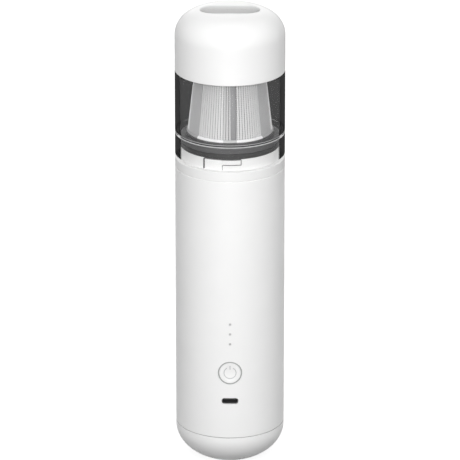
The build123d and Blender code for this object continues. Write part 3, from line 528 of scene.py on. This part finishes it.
def sector_group():
    """A mask of the part of a turned piece that lies between two angles from the front, on both sides"""
    group, start, end = new_group(
        "sector_mask",
        [("Low Turn", "NodeSocketFloat", 0.0), ("High Turn", "NodeSocketFloat", 1.0)],
        [("Mask", "NodeSocketFloat")],
    )
    place = add_node(group, "ShaderNodeTexCoord").outputs["Object"]
    apart = add_node(group, "ShaderNodeSeparateXYZ", Vector=place).outputs
    ahead = math_node(group, "MULTIPLY", apart["Y"], -1.0)
    turn = math_node(group, "ABSOLUTE", math_node(group, "ARCTAN2", apart["X"], ahead))
    past = math_node(group, "GREATER_THAN", turn, start.outputs["Low Turn"])
    short = math_node(group, "LESS_THAN", turn, start.outputs["High Turn"])
    group.links.new(math_node(group, "MULTIPLY", past, short), end.inputs["Mask"])
    return group


def use_group(tree, group, **values):
    """Place a shared group in a material with its own values; underscores stand for spaces"""
    node = tree.nodes.new("ShaderNodeGroup")
    node.node_tree = group
    for name, value in values.items():
        node.inputs[name.replace("_", " ").title()].default_value = value
    return node.outputs


GROUPS = {}


def shared(name):
    """The shared group of that name, built once"""
    makers = {"grain": grain_group, "edge": edge_group, "joint": joint_group, "sector": sector_group}
    if name not in GROUPS:
        GROUPS[name] = makers[name]()
    return GROUPS[name]


def plain_finish(name, colour, low_rough, high_rough, metallic=0.0, specular=0.5, grain=2500.0,
                 stretch=(1, 1, 1), bump=0.04, drift_share=0.06, edges_wear_and_painted_light=1.08, rim_painted_light=None, joints=(),
                 sectors=()):
    """A moulded or metal finish: grain, drifting roughness and tone, edges toned for wear and painted light,
    joints darkened with painted shadow and dust, sectors darkened as painted shade, and a painted rim light where
    the surface turns edge on
    """
    material, tree, surface = new_material(name)
    surface.inputs["Metallic"].default_value = metallic
    surface.inputs["Specular IOR Level"].default_value = specular
    texture = use_group(
        tree, shared("grain"), grain_scale=grain, low_roughness=low_rough, high_roughness=high_rough,
        stretch=stretch,
    )
    edge = use_group(tree, shared("edge"))
    drift = map_range(tree, texture["Drift"], *DRIFT_RANGE, 0.0, 1.0)
    tone = mix_colours(tree, drift, colour, shaded(colour, 1 - drift_share))
    # Edges: lighter for wear on most finishes, darker as painted shade in the white shells' seams, much lighter as
    # a painted highlight on the filter's grey parts
    tone = mix_colours(tree, edge["Mask"], tone, shaded(colour, edges_wear_and_painted_light))
    for height, width in joints:
        gap = use_group(tree, shared("joint"), height=height, width=width)
        tone = mix_colours(tree, gap["Mask"], tone, shaded(colour, JOINT_TONE))
    # Sectors round the axis painted darker: painted shade for the dark parts of a steel cone's reflections
    for low_turn, high_turn, share in sectors:
        sector = use_group(tree, shared("sector"), low_turn=low_turn, high_turn=high_turn)
        tone = mix_colours(tree, sector["Mask"], tone, shaded(colour, share))
    # Painted rim light: where the surface turns edge on to the eye, a tone below one paints shade and a tone above
    # one paints a highlight
    if rim_painted_light:
        facing = add_node(tree, "ShaderNodeLayerWeight", Blend=0.5).outputs["Facing"]
        tone = mix_colours(tree, map_range(tree, facing, *RIM_LIGHT_TURN, 0.0, 1.0), tone, shaded(colour, rim_painted_light))
    tree.links.new(tone, surface.inputs["Base Color"])
    tree.links.new(texture["Roughness"], surface.inputs["Roughness"])
    relief = add_node(tree, "ShaderNodeBump", Strength=bump, Distance=GRAIN_HEIGHT, Height=texture["Height"])
    tree.links.new(relief.outputs["Normal"], surface.inputs["Normal"])
    return material


def smoke_zones(tree):
    """Where a point of the cup lies: its place and height, and masks of the outer skin and of the cup proper"""
    place = add_node(tree, "ShaderNodeTexCoord").outputs["Object"]
    apart = add_node(tree, "ShaderNodeSeparateXYZ", Vector=place).outputs
    across = math_node(tree, "POWER", apart["X"], 2.0)
    depth = math_node(tree, "POWER", apart["Y"], 2.0)
    on_cup = math_node(tree, "GREATER_THAN", apart["Z"], CUP_LOW.z - 2 * GROOVE_HALF)
    skin = mix_values(tree, on_cup, (CUP_HIGH.x - COLLAR_SKIN) ** 2, (CUP_HIGH.x - CUP_SKIN) ** 2)
    outside = math_node(tree, "GREATER_THAN", math_node(tree, "ADD", across, depth), skin)
    return place, apart["Z"], outside, on_cup


def smoke_cover(tree, colours, facing, behind, height, outside):
    """How much the wall hides: little in front, most at the sides and on the far wall, with painted shade in the
    groove and in a band under the cap's edge
    """
    near = map_range(tree, facing, *NEAR_TURN, colours.near_cover, colours.side_cover)
    near = math_node(tree, "MAXIMUM", near, map_range(tree, facing, *EDGE_ON_TURN, 0.0, EDGE_ON_COVER))
    far = map_range(tree, facing, *FAR_TURN, colours.far_cover, colours.near_cover)
    groove = use_group(tree, shared("joint"), height=CUP_LOW.z, width=GROOVE_HALF)["Mask"]
    # A band under the cap's edge: a faint painted shade line in front, as dark as the side wall at the sides
    under_cap_shade = math_node(tree, "GREATER_THAN", height, CAP_LOW - GROOVE_HALF)
    under_cap_cover = map_range(tree, facing, *CUP_EDGE_TURN, CUP_EDGE_COVER, colours.side_cover)
    for mask, cover in ((groove, colours.groove_shade), (under_cap_shade, under_cap_cover)):
        near = math_node(tree, "MAXIMUM", near, math_node(tree, "MULTIPLY", mask, cover))
        far = math_node(tree, "MAXIMUM", far, math_node(tree, "MULTIPLY", mask, colours.far_cover))
    over_foot = math_node(tree, "GREATER_THAN", height, COLLAR_LOW + CLEAR_FOOT)
    tinted = math_node(tree, "MULTIPLY", outside, over_foot)
    return mix_values(tree, tinted, colours.near_cover, mix_values(tree, behind, near, far))


def smoke_lines(tree, facing, front, place, height, outside, on_cup):
    """Edges that show as thin lines: the two lips of the joint in front, a painted highlight of their chamfers,
    and the steps of the channels
    """
    lips = [
        use_group(tree, shared("joint"), height=CUP_LOW.z + side * GROOVE_HALF, width=LIP_HALF)["Mask"]
        for side in (-1, 1)
    ]
    # The joint's lips are drawn as a painted highlight, strongest on the front of the outer skin
    joint = math_node(tree, "MULTIPLY", math_node(tree, "MAXIMUM", *lips), LINE_COVER)
    joint = math_node(tree, "MULTIPLY", joint, outside)
    open_face = map_range(tree, facing, *OPEN_TURN, 1.0, SIDE_LINE)
    joint = math_node(tree, "MULTIPLY", joint, math_node(tree, "MULTIPLY", open_face, front))
    outward = vector_node(tree, "MULTIPLY", place, (1, 1, 0))["Vector"]
    outward = vector_node(tree, "NORMALIZE", outward)["Vector"]
    normal = add_node(tree, "ShaderNodeTexCoord").outputs["Normal"]
    upright = math_node(tree, "ABSOLUTE", vector_node(tree, "DOT_PRODUCT", normal, outward)["Value"])
    step = math_node(tree, "MULTIPLY", math_node(tree, "LESS_THAN", upright, STEP_TURN), LINE_COVER)
    on_collar = math_node(tree, "GREATER_THAN", height, COLLAR_LOW + GROOVE_HALF)
    channel = math_node(tree, "MULTIPLY", step, math_node(tree, "SUBTRACT", on_collar, on_cup))
    return math_node(tree, "MAXIMUM", joint, channel)


def smoke_finish(colours):
    """Smoke-tinted clear plastic: the near wall is thin and clear, the far wall and the sides read dark"""
    material, tree, surface = new_material("smoke_clear")
    surface.inputs["Specular IOR Level"].default_value = 0.0
    place, height, outside, on_cup = smoke_zones(tree)
    facing = add_node(tree, "ShaderNodeLayerWeight", Blend=0.5).outputs["Facing"]
    behind = add_node(tree, "ShaderNodeNewGeometry").outputs["Backfacing"]
    front = math_node(tree, "SUBTRACT", 1.0, behind)
    cover = smoke_cover(tree, colours, facing, behind, height, outside)
    lines = smoke_lines(tree, facing, front, place, height, outside, on_cup)
    hidden = math_node(tree, "MAXIMUM", cover, lines)
    seen = add_node(tree, "ShaderNodeLightPath").outputs["Is Camera Ray"]
    tree.links.new(mix_values(tree, seen, colours.near_cover, hidden), surface.inputs["Alpha"])
    line = mix_colours(tree, on_cup, colours.smoke_channel, colours.smoke_lip_glint)
    drawn = math_node(tree, "GREATER_THAN", lines, LEAST_LINE)
    tree.links.new(mix_colours(tree, drawn, colours.smoke_body, line), surface.inputs["Base Color"])
    texture = use_group(tree, shared("grain"), grain_scale=700.0, low_roughness=0.05, high_roughness=0.12)
    tree.links.new(texture["Roughness"], surface.inputs["Roughness"])
    gloss = add_node(tree, "ShaderNodeBsdfGlossy", Color=(0.5, 0.5, 0.5, 1), Roughness=0.06)
    fresnel = add_node(tree, "ShaderNodeFresnel", IOR=1.45).outputs["Fac"]
    skin_front = math_node(tree, "MULTIPLY", outside, front)
    sheen = math_node(tree, "MULTIPLY", math_node(tree, "MULTIPLY", fresnel, skin_front), SHEEN)
    mixed = add_node(tree, "ShaderNodeMixShader", Fac=sheen)
    tree.links.new(surface.outputs["BSDF"], mixed.inputs[1])
    tree.links.new(gloss.outputs["BSDF"], mixed.inputs[2])
    tree.links.new(mixed.outputs["Shader"], tree.nodes["Material Output"].inputs["Surface"])
    return material


class VACUUM_OT_white_shells(bpy.types.Operator):
    """Finish the white barrel, nozzle, duct, button, end cap, shoulder and neck"""

    bl_idname = "vacuum.white_shells"
    bl_label = "White shells"

    def execute(self, context):
        colours = context.scene.vacuum_finish
        white, satin_white = tuple(colours.white_shell), tuple(colours.satin_white)
        # Edges darkened to 0.8, here and in the satin white, are painted shade in the seams and on the chamfers of
        # the white shells
        polish = {"low_rough": 0.36, "high_rough": 0.44, "edges_wear_and_painted_light": 0.8, "drift_share": 0.015, "specular": 0.3}
        base_joint = (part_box("body_shell")[0].z, BASE_JOINT_HALF)
        # The cap's rim is painted darker where it turns edge on to the eye, a painted shade round its outline
        paint(plain_finish("white_cap", white, rim_painted_light=0.86, **polish), "nozzle_cap")
        paint(plain_finish("white_gloss", white, **polish), "inlet_duct", "power_button")
        paint(plain_finish("white_barrel", white, joints=[base_joint], **polish), "body_shell", "end_cap")
        satin = plain_finish(
            "white_satin", satin_white, 0.46, 0.56, edges_wear_and_painted_light=0.8, drift_share=0.02, bump=0.08, specular=0.3,
        )
        paint(satin, "shoulder_ring", "intake_neck")
        return {"FINISHED"}


class VACUUM_OT_smoke_cup(bpy.types.Operator):
    """Finish the smoke cup and its bayonet collar"""

    bl_idname = "vacuum.smoke_cup"
    bl_label = "Smoke cup"

    def execute(self, context):
        paint(smoke_finish(context.scene.vacuum_finish), "dust_cup", "bayonet_collar")
        return {"FINISHED"}


class VACUUM_OT_woven_filter(bpy.types.Operator):
    """Make the steel cone of the filter, with bands, hem and seam, and finish its other pieces and the seals"""

    bl_idname = "vacuum.woven_filter"
    bl_label = "Woven filter"

    def cone_radius(self, height):
        """Middle of the mesh at a height"""
        share = (height - MESH_LOW.z) / (MESH_HIGH.z - MESH_LOW.z)
        base = MESH_HIGH.x - self.half_thickness
        top = FILTER_TOP_RADIUS - self.half_thickness
        return base + (top - base) * share

    def weave(self):
        """Upright flat wires on the slope of the cone, and thin rings across their outer faces"""
        base_radius, top_radius = self.cone_radius(MESH_LOW.z), self.cone_radius(MESH_HIGH.z)
        clear_selection()
        bpy.ops.mesh.primitive_circle_add(
            vertices=4, radius=math.sqrt(0.5), fill_type="NGON", location=(base_radius, 0, MESH_LOW.z),
            rotation=(0, 0, math.pi / 4),
        )
        piece = named_piece("filter_weave")
        bpy.ops.object.transform_apply(location=False, rotation=True)
        piece.scale = (self.sizes.wire_depth, self.sizes.wire_width, 1)
        bpy.ops.object.transform_apply(location=True, scale=True)
        bpy.ops.object.mode_set(mode="EDIT")
        bpy.ops.mesh.select_all(action="SELECT")
        slope = (top_radius - base_radius, 0, MESH_HIGH.z - MESH_LOW.z)
        bpy.ops.mesh.extrude_region_move(TRANSFORM_OT_translate={"value": slope})
        bpy.ops.transform.resize(
            value=(1, top_radius / base_radius, 1), center_override=(top_radius, 0, MESH_HIGH.z)
        )
        bpy.ops.mesh.select_all(action="SELECT")
        copies = self.sizes.wire_count - 1
        bpy.ops.mesh.spin(
            steps=copies, dupli=True, angle=FULL_TURN * copies / (copies + 1), center=(0, 0, 0), axis=(0, 0, 1)
        )
        rings = self.sizes.ring_count
        for ring in range(rings):
            height = MESH_LOW.z + (ring + 0.5) * (MESH_HIGH.z - MESH_LOW.z) / rings
            bpy.ops.mesh.primitive_torus_add(
                location=(0, 0, height), major_segments=88, minor_segments=4,
                major_radius=self.cone_radius(height) + self.sizes.wire_depth * RING_SEAT_SHARE,
                minor_radius=self.sizes.ring_radius,
            )
        settle(piece)
        smooth(piece, math.radians(40))
        return piece

    def bands(self):
        """Smooth darker bands of the cone at both sides, between its front and its back window, standing in for
        the shade of its reflections there
        """
        low, high = MESH_LOW.z + self.sizes.hem_height * BAND_FOOT_SHARE, MESH_HIGH.z
        lift = self.half_thickness + BAND_LIFT
        low_radius, high_radius = self.cone_radius(low) + lift, self.cone_radius(high) + lift
        clear_selection()
        bpy.ops.mesh.primitive_circle_add(vertices=180, radius=low_radius, location=(0, 0, low))
        piece = named_piece("filter_bands")
        bpy.ops.object.transform_apply(location=True)
        bpy.ops.object.mode_set(mode="EDIT")
        bpy.ops.mesh.select_all(action="SELECT")
        bpy.ops.mesh.extrude_region_move(TRANSFORM_OT_translate={"value": (0, 0, high - low)})
        ratio = high_radius / low_radius
        bpy.ops.transform.resize(value=(ratio, ratio, 1), center_override=(0, 0, high))
        bpy.ops.mesh.select_all(action="SELECT")
        bpy.ops.mesh.normals_make_consistent(inside=False)
        delete_faces(
            piece, lambda centre: math.atan2(abs(centre.x), abs(centre.y)) < self.sizes.band_start
        )
        bpy.ops.object.mode_set(mode="OBJECT")
        apply_modifier(piece, "SOLIDIFY", thickness=STRIP_DEPTH, offset=1.0)
        settle(piece)
        apply_modifier(piece, "BEVEL", width=BAND_BEVEL, segments=2)
        smooth(piece)
        return piece

    def hem(self):
        """Rolled hem round the foot of the cone"""
        low = MESH_LOW.z + HEM_GAP
        high = low + self.sizes.hem_height
        middle = (low + high) / 2
        outside = self.half_thickness + HEM_LIFT
        profile = [(low, 0, low), (low, 0.6, low), (low, 1, low + HEM_ROLL), (middle, 0.9, middle),
                   (high, 0.5, high - HEM_ROLL * 0.4), (high, 0, high)]
        points = [
            (self.cone_radius(level) + outside + HEM_ROLL * roll_share, height)
            for level, roll_share, height in profile
        ]
        piece = turned_shell("filter_hem", points, 144)
        apply_modifier(piece, "BEVEL", width=HEM_BEVEL, segments=2)
        smooth(piece)
        return piece

    def seam(self):
        """Strip over the joint of the mesh, on the slope of the cone"""
        low, high = MESH_LOW.z + self.sizes.hem_height, MESH_HIGH.z
        middle = (low + high) / 2
        rise = high - low
        run = self.cone_radius(low) - self.cone_radius(high)
        radius = self.cone_radius(middle) + self.half_thickness + SEAM_LIFT
        turn = self.sizes.seam_turn
        clear_selection()
        bpy.ops.mesh.primitive_cube_add(
            size=1,
            location=(radius * math.sin(turn), -radius * math.cos(turn), middle),
            rotation=(-math.atan2(run, rise), 0, turn),
            scale=(self.sizes.seam_width, STRIP_DEPTH, math.hypot(run, rise)),
        )
        piece = named_piece("filter_seam")
        settle(piece)
        apply_modifier(piece, "BEVEL", width=SEAM_BEVEL, segments=2)
        smooth(piece)
        return piece

    def execute(self, context):
        self.sizes = context.scene.vacuum_filter
        self.half_thickness = self.sizes.wire_depth
        side = self.sizes.band_start
        drawn = {"grain": 900.0, "stretch": (1, 1, 0.04)}
        rolled = {"grain": 900.0, "stretch": (1, 1, 0.1)}
        # The woven steel is painted darker in the front sector, a painted shade for the dark reflection at the
        # cone's front
        wire = plain_finish(
            "woven_steel", (0.76, 0.76, 0.762, 1), 0.6, 0.7, metallic=0.1, specular=0.25, drift_share=0.1,
            edges_wear_and_painted_light=1.0, sectors=[(0, FRONT_SHADE_TURN, 0.8)], **drawn,
        )
        # The side bands are a darker smooth sheet that stands in for the shade of the cone's reflections at its
        # sides; their rim light paints a highlight along their outline
        side_shade_sheet = plain_finish(
            "side_band_shade_steel", (0.45, 0.45, 0.455, 1), 0.4, 0.5, metallic=0.3, edges_wear_and_painted_light=1.1, rim_painted_light=1.7, **drawn,
        )
        # The hem is painted darker in front and much darker at the sides, so that a painted highlight stays only
        # beside the front
        hem_highlight = plain_finish(
            "rolled_steel", (0.9, 0.9, 0.905, 1), 0.5, 0.6, metallic=0.1, drift_share=0.05, edges_wear_and_painted_light=1.0,
            sectors=[(0, FRONT_SHADE_TURN, 0.6), (side, math.pi - side, 0.45)], **rolled,
        )
        welded = plain_finish(
            "seam_steel", (0.26, 0.26, 0.265, 1), 0.5, 0.6, metallic=0.3, drift_share=0.1, edges_wear_and_painted_light=1.1, **rolled,
        )
        weave, hem, seam, bands = self.weave(), self.hem(), self.seam(), self.bands()
        finish_piece(weave, wire, "main_body")
        finish_piece(hem, hem_highlight, "main_body")
        finish_piece(seam, welded, "main_body")
        finish_piece(bands, side_shade_sheet, "main_body")
        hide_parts("filter_mesh")
        grey = tuple(context.scene.vacuum_finish.filter_grey)
        # An edge tone of 3 paints a highlight along the edges of the filter's grey parts
        paint(plain_finish("filter_grey", grey, 0.5, 0.6, specular=0.1, edges_wear_and_painted_light=3.0),
              "filter_base", "filter_top")
        paint(plain_finish("pleated_paper", (0.34, 0.34, 0.335, 1), 0.85, 0.95, grain=1500.0, bump=0.3,
                           drift_share=0.1), "filter_core")
        paint(plain_finish("soft_rubber", (0.035, 0.035, 0.035, 1), 0.55, 0.7, bump=0.1),
              "filter_gasket", "motor_boot", "cap_seal")
        return {"FINISHED"}


class VACUUM_OT_power_mark(bpy.types.Operator):
    """Lay the power mark on the dished button, and finish the bezel and the charge lamps"""

    bl_idname = "vacuum.power_mark"
    bl_label = "Power mark"

    def flat_ring(self, sizes, centre):
        """Open ring in the button's plane, with its gap at the top"""
        clear_selection()
        inner = sizes.ring_radius - sizes.line_width / 2
        outer = sizes.ring_radius + sizes.line_width / 2
        bpy.ops.mesh.primitive_circle_add(
            vertices=72, radius=inner, location=centre, rotation=(math.pi / 2, 0, 0)
        )
        piece = named_piece("power_mark")
        bpy.ops.object.transform_apply(location=True, rotation=True)
        bpy.ops.object.mode_set(mode="EDIT")
        bpy.ops.mesh.select_all(action="SELECT")
        bpy.ops.mesh.extrude_region_move()
        ratio = outer / inner
        bpy.ops.transform.resize(value=(ratio, 1, ratio), center_override=centre)
        delete_faces(
            piece, lambda spot: abs(math.atan2(spot.x, spot.z - centre.z)) < sizes.ring_gap / 2
        )
        return piece

    def execute(self, context):
        sizes = context.scene.vacuum_mark
        centre = Vector((0, BUTTON_LOW.y - MARK_STANDOFF, (BUTTON_LOW.z + BUTTON_HIGH.z) / 2))
        piece = self.flat_ring(sizes, centre)
        bar_rise = sizes.ring_radius - sizes.bar_length * BAR_DROP_SHARE
        bpy.ops.mesh.primitive_plane_add(
            size=1, location=centre + Vector((0, 0, bar_rise)), rotation=(math.pi / 2, 0, 0)
        )
        bpy.ops.transform.resize(value=(sizes.line_width, 1, sizes.bar_length))
        bpy.ops.mesh.subdivide(number_cuts=7)
        settle(piece)
        apply_modifier(
            piece, "SHRINKWRAP", target=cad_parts["power_button"], wrap_method="PROJECT",
            use_project_x=False, use_project_y=True, use_project_z=False, use_negative_direction=True,
            use_positive_direction=True, offset=PRINT_LIFT,
        )
        apply_modifier(piece, "SOLIDIFY", thickness=PRINT_DEPTH, offset=1.0)
        settle(piece)
        smooth(piece)
        grey = tuple(context.scene.vacuum_finish.mark_grey)
        print_grey = plain_finish("mark_print", grey, 0.4, 0.5, drift_share=0.05, edges_wear_and_painted_light=1.0)
        finish_piece(piece, print_grey, "button")
        paint(plain_finish("bezel_grey", (0.44, 0.452, 0.444, 1), 0.22, 0.3), "button_bezel")
        paint(plain_finish("frosted_lamp", (0.56, 0.56, 0.56, 1), 0.35, 0.45, drift_share=0.1), "light_pipes")
        return {"FINISHED"}


class VACUUM_OT_charge_port(bpy.types.Operator):
    """Set the contacts on the charging tongue and finish the inlet"""

    bl_idname = "vacuum.charge_port"
    bl_label = "Charging inlet"

    def execute(self, context):
        pad = Vector((0.26, 3.0, 0.04)) * MILLIMETRE
        pitch = 0.5 * MILLIMETRE
        count = 12
        tongue_half = 0.35 * MILLIMETRE
        pad_bevel = 0.012 * MILLIMETRE
        middle = (TONGUE_LOW.z + TONGUE_HIGH.z) / 2
        clear_selection()
        bpy.ops.mesh.primitive_cube_add(
            size=1,
            location=(
                -pitch * (count - 1) / 2,
                TONGUE_LOW.y + pad.y / 2 + pitch,
                middle + tongue_half + pad.z / 2,
            ),
            scale=pad,
        )
        piece = named_piece("charge_contacts")
        bpy.ops.object.mode_set(mode="EDIT")
        bpy.ops.mesh.select_all(action="SELECT")
        bpy.ops.mesh.bevel(offset=pad_bevel, segments=1)
        settle(piece)
        apply_modifier(piece, "ARRAY", count=count, use_relative_offset=False, use_constant_offset=True,
                       constant_offset_displace=(pitch, 0, 0))
        apply_modifier(piece, "ARRAY", count=2, use_relative_offset=False, use_constant_offset=True,
                       constant_offset_displace=(0, 0, -2 * tongue_half - pad.z))
        smooth(piece)
        gilt = plain_finish("gilt_contact", (0.8, 0.6, 0.28, 1), 0.2, 0.3, metallic=1.0, drift_share=0.1)
        finish_piece(piece, gilt, "main_body")
        paint(plain_finish("black_nickel", (0.1, 0.1, 0.102, 1), 0.4, 0.5, metallic=0.3), "usb_shell")
        paint(plain_finish("tongue_black", (0.012, 0.012, 0.012, 1), 0.45, 0.6), "usb_tongue")
        return {"FINISHED"}


class VACUUM_OT_inner_works(bpy.types.Operator):
    """Finish the motor, fan, battery, board and other pieces inside, the flap and the foot pad"""

    bl_idname = "vacuum.inner_works"
    bl_label = "Inner works"

    def execute(self, context):
        paint(plain_finish("moulded_black", (0.03, 0.03, 0.032, 1), 0.45, 0.6, bump=0.12),
              "chassis", "battery_cradle", "battery_clamp", "motor_mount", "motor_end_bell", "fan_housing",
              "fan_shroud", "tact_switch", "switch_plunger", "impeller")
        paint(plain_finish("chip_black", (0.02, 0.02, 0.021, 1), 0.5, 0.65, bump=0.2),
              "pcb_chips", "motor_brushes")
        paint(plain_finish("plated_steel", (0.56, 0.57, 0.58, 1), 0.25, 0.4, metallic=1.0, drift_share=0.15),
              "motor_can", "motor_shaft", "motor_bearings", "flap_pin", "end_cap_screws", "pcb_screws",
              "mount_screws", "motor_screws", "neck_screws")
        paint(plain_finish("stacked_iron", (0.33, 0.33, 0.34, 1), 0.35, 0.5, metallic=1.0, grain=900.0,
                           stretch=(0.02, 0.02, 4.0), drift_share=0.3), "rotor_core")
        paint(plain_finish("ferrite", (0.06, 0.06, 0.063, 1), 0.6, 0.75, bump=0.2), "motor_magnets")
        paint(plain_finish("bare_copper", (0.72, 0.38, 0.2, 1), 0.25, 0.4, metallic=1.0, drift_share=0.2),
              "commutator")
        paint(plain_finish("nickel_strip", (0.66, 0.64, 0.6, 1), 0.2, 0.35, metallic=1.0, drift_share=0.15),
              "battery_link")
        paint(plain_finish("solder_mask", (0.012, 0.1, 0.04, 1), 0.3, 0.45, grain=700.0, drift_share=0.25),
              "main_pcb")
        paint(plain_finish("shrink_wrap", (0.02, 0.09, 0.26, 1), 0.3, 0.4, drift_share=0.1), "battery_cells")
        paint(plain_finish("lamp_chip", (0.75, 0.68, 0.3, 1), 0.4, 0.5), "led_chips")
        paint(plain_finish("grey_rubber", (0.32, 0.32, 0.32, 1), 0.6, 0.75, bump=0.2), "foot_pad", "inlet_flap")
        return {"FINISHED"}


class VACUUM_OT_studio(bpy.types.Operator):
    """Set the floor, the light and the camera"""

    bl_idname = "vacuum.studio"
    bl_label = "Studio"

    def white_to_eye(self, tree):
        """A mask of the rays that look at the background: straight, mirrored or through glass"""
        seen = add_node(tree, "ShaderNodeLightPath").outputs
        mirrored = math_node(tree, "MAXIMUM", seen["Is Glossy Ray"], seen["Is Transmission Ray"])
        return math_node(tree, "MAXIMUM", seen["Is Camera Ray"], mirrored)

    def floor(self, settings):
        """A wide pale floor that keeps the object's shadow"""
        clear_selection()
        bpy.ops.mesh.primitive_circle_add(vertices=96, radius=FLOOR_RADIUS, fill_type="NGON")
        piece = named_piece("floor")
        material, tree, unused = new_material("pale_floor")
        tree.nodes.remove(unused)
        bounce = add_node(tree, "ShaderNodeBsdfDiffuse", Color=settings.floor_bounce)
        shadowed = add_node(tree, "ShaderNodeBsdfDiffuse", Color=FLOOR_SHADE)
        glow = add_node(tree, "ShaderNodeEmission", Color=WHITE, Strength=FLOOR_GLOW)
        shown = add_node(tree, "ShaderNodeAddShader")
        tree.links.new(shadowed.outputs["BSDF"], shown.inputs[0])
        tree.links.new(glow.outputs["Emission"], shown.inputs[1])
        mixed = add_node(tree, "ShaderNodeMixShader", Fac=self.white_to_eye(tree))
        tree.links.new(bounce.outputs["BSDF"], mixed.inputs[1])
        tree.links.new(shown.outputs["Shader"], mixed.inputs[2])
        behind = add_node(tree, "ShaderNodeNewGeometry").outputs["Backfacing"]
        below = add_node(tree, "ShaderNodeMixShader", Fac=behind)
        tree.links.new(mixed.outputs["Shader"], below.inputs[1])
        tree.links.new(add_node(tree, "ShaderNodeBsdfTransparent").outputs["BSDF"], below.inputs[2])
        tree.links.new(below.outputs["Shader"], tree.nodes["Material Output"].inputs["Surface"])
        piece.data.materials.append(material)

    def world(self, settings):
        """Soft light from all round, stronger from above, and a white background"""
        world = bpy.data.worlds.new("studio")
        bpy.context.scene.world = world
        world.use_nodes = True
        tree = world.node_tree
        tree.nodes.clear()
        towards = add_node(tree, "ShaderNodeTexCoord").outputs["Generated"]
        height = add_node(tree, "ShaderNodeSeparateXYZ", Vector=towards).outputs["Z"]
        strength = map_range(tree, height, 0.0, 1.0, settings.low_ambient, settings.high_ambient)
        light = add_node(tree, "ShaderNodeBackground", Color=WHITE, Strength=strength)
        white = add_node(tree, "ShaderNodeBackground", Color=WHITE, Strength=1.0)
        mixed = add_node(tree, "ShaderNodeMixShader", Fac=self.white_to_eye(tree))
        tree.links.new(light.outputs["Background"], mixed.inputs[1])
        tree.links.new(white.outputs["Background"], mixed.inputs[2])
        output = add_node(tree, "ShaderNodeOutputWorld")
        tree.links.new(mixed.outputs["Shader"], output.inputs["Surface"])

    def lamp(self, name, power, size, place, aim):
        """A square soft lamp that points at a place on the object"""
        clear_selection()
        place = Vector(place)
        turn = (Vector(aim) - place).to_track_quat("-Z", "Y").to_euler()
        bpy.ops.object.light_add(type="AREA", location=place, rotation=turn)
        lamp = bpy.context.view_layer.objects.active
        lamp.name = name
        lamp.data.energy = power
        lamp.data.size = size

    def camera(self, settings):
        """The photograph's viewpoint, from the front and above"""
        clear_selection()
        reach = settings.distance * math.cos(settings.pitch)
        rise = settings.distance * math.sin(settings.pitch)
        bpy.ops.object.camera_add(
            location=(0, -reach, settings.aim_height + rise), rotation=(math.pi / 2 - settings.pitch, 0, 0)
        )
        camera = bpy.context.view_layer.objects.active
        camera.data.lens = settings.lens
        camera.data.sensor_width = SENSOR_WIDTH
        camera.data.clip_end = FAR_CLIP
        bpy.context.scene.camera = camera

    def execute(self, context):
        settings = context.scene.vacuum_studio
        context.scene.view_settings.view_transform = "Standard"
        self.floor(settings)
        self.world(settings)
        self.lamp("key_lamp", settings.key_power, **KEY_LAMP)
        self.lamp("back_lamp", settings.back_power, **BACK_LAMP)
        self.lamp("top_lamp", settings.top_power, **TOP_LAMP)
        self.camera(settings)
        return {"FINISHED"}


STEPS = (
    VACUUM_OT_white_shells,
    VACUUM_OT_smoke_cup,
    VACUUM_OT_woven_filter,
    VACUUM_OT_power_mark,
    VACUUM_OT_charge_port,
    VACUUM_OT_inner_works,
    VACUUM_OT_studio,
)


class VACUUM_PT_sidebar(bpy.types.Panel):
    """Steps that dress the hand vacuum, and their settings"""

    bl_label = "Hand vacuum"
    bl_idname = "VACUUM_PT_sidebar"
    bl_space_type = "VIEW_3D"
    bl_region_type = "UI"
    bl_category = "Hand vacuum"

    def draw(self, context):
        for step in STEPS:
            self.layout.operator(step.bl_idname)
        for name in SETTINGS:
            group = getattr(context.scene, name)
            box = self.layout.box()
            for setting in group.__annotations__:
                box.prop(group, setting)


SETTINGS = {
    "vacuum_finish": FinishColours,
    "vacuum_filter": FilterSizes,
    "vacuum_mark": MarkSizes,
    "vacuum_studio": StudioSettings,
}


def register():
    for settings in SETTINGS.values():
        bpy.utils.register_class(settings)
    for step in STEPS:
        bpy.utils.register_class(step)
    bpy.utils.register_class(VACUUM_PT_sidebar)
    for name, settings in SETTINGS.items():
        setattr(bpy.types.Scene, name, bpy.props.PointerProperty(type=settings))


def unregister():
    for name in SETTINGS:
        delattr(bpy.types.Scene, name)
    bpy.utils.unregister_class(VACUUM_PT_sidebar)
    for step in reversed(STEPS):
        bpy.utils.unregister_class(step)
    for settings in SETTINGS.values():
        bpy.utils.unregister_class(settings)


def main():
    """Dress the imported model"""
    register()
    bpy.ops.vacuum.white_shells()
    bpy.ops.vacuum.smoke_cup()
    bpy.ops.vacuum.woven_filter()
    bpy.ops.vacuum.power_mark()
    bpy.ops.vacuum.charge_port()
    bpy.ops.vacuum.inner_works()
    bpy.ops.vacuum.studio()
    clear_selection()


if __name__ == "__main__":
    main()
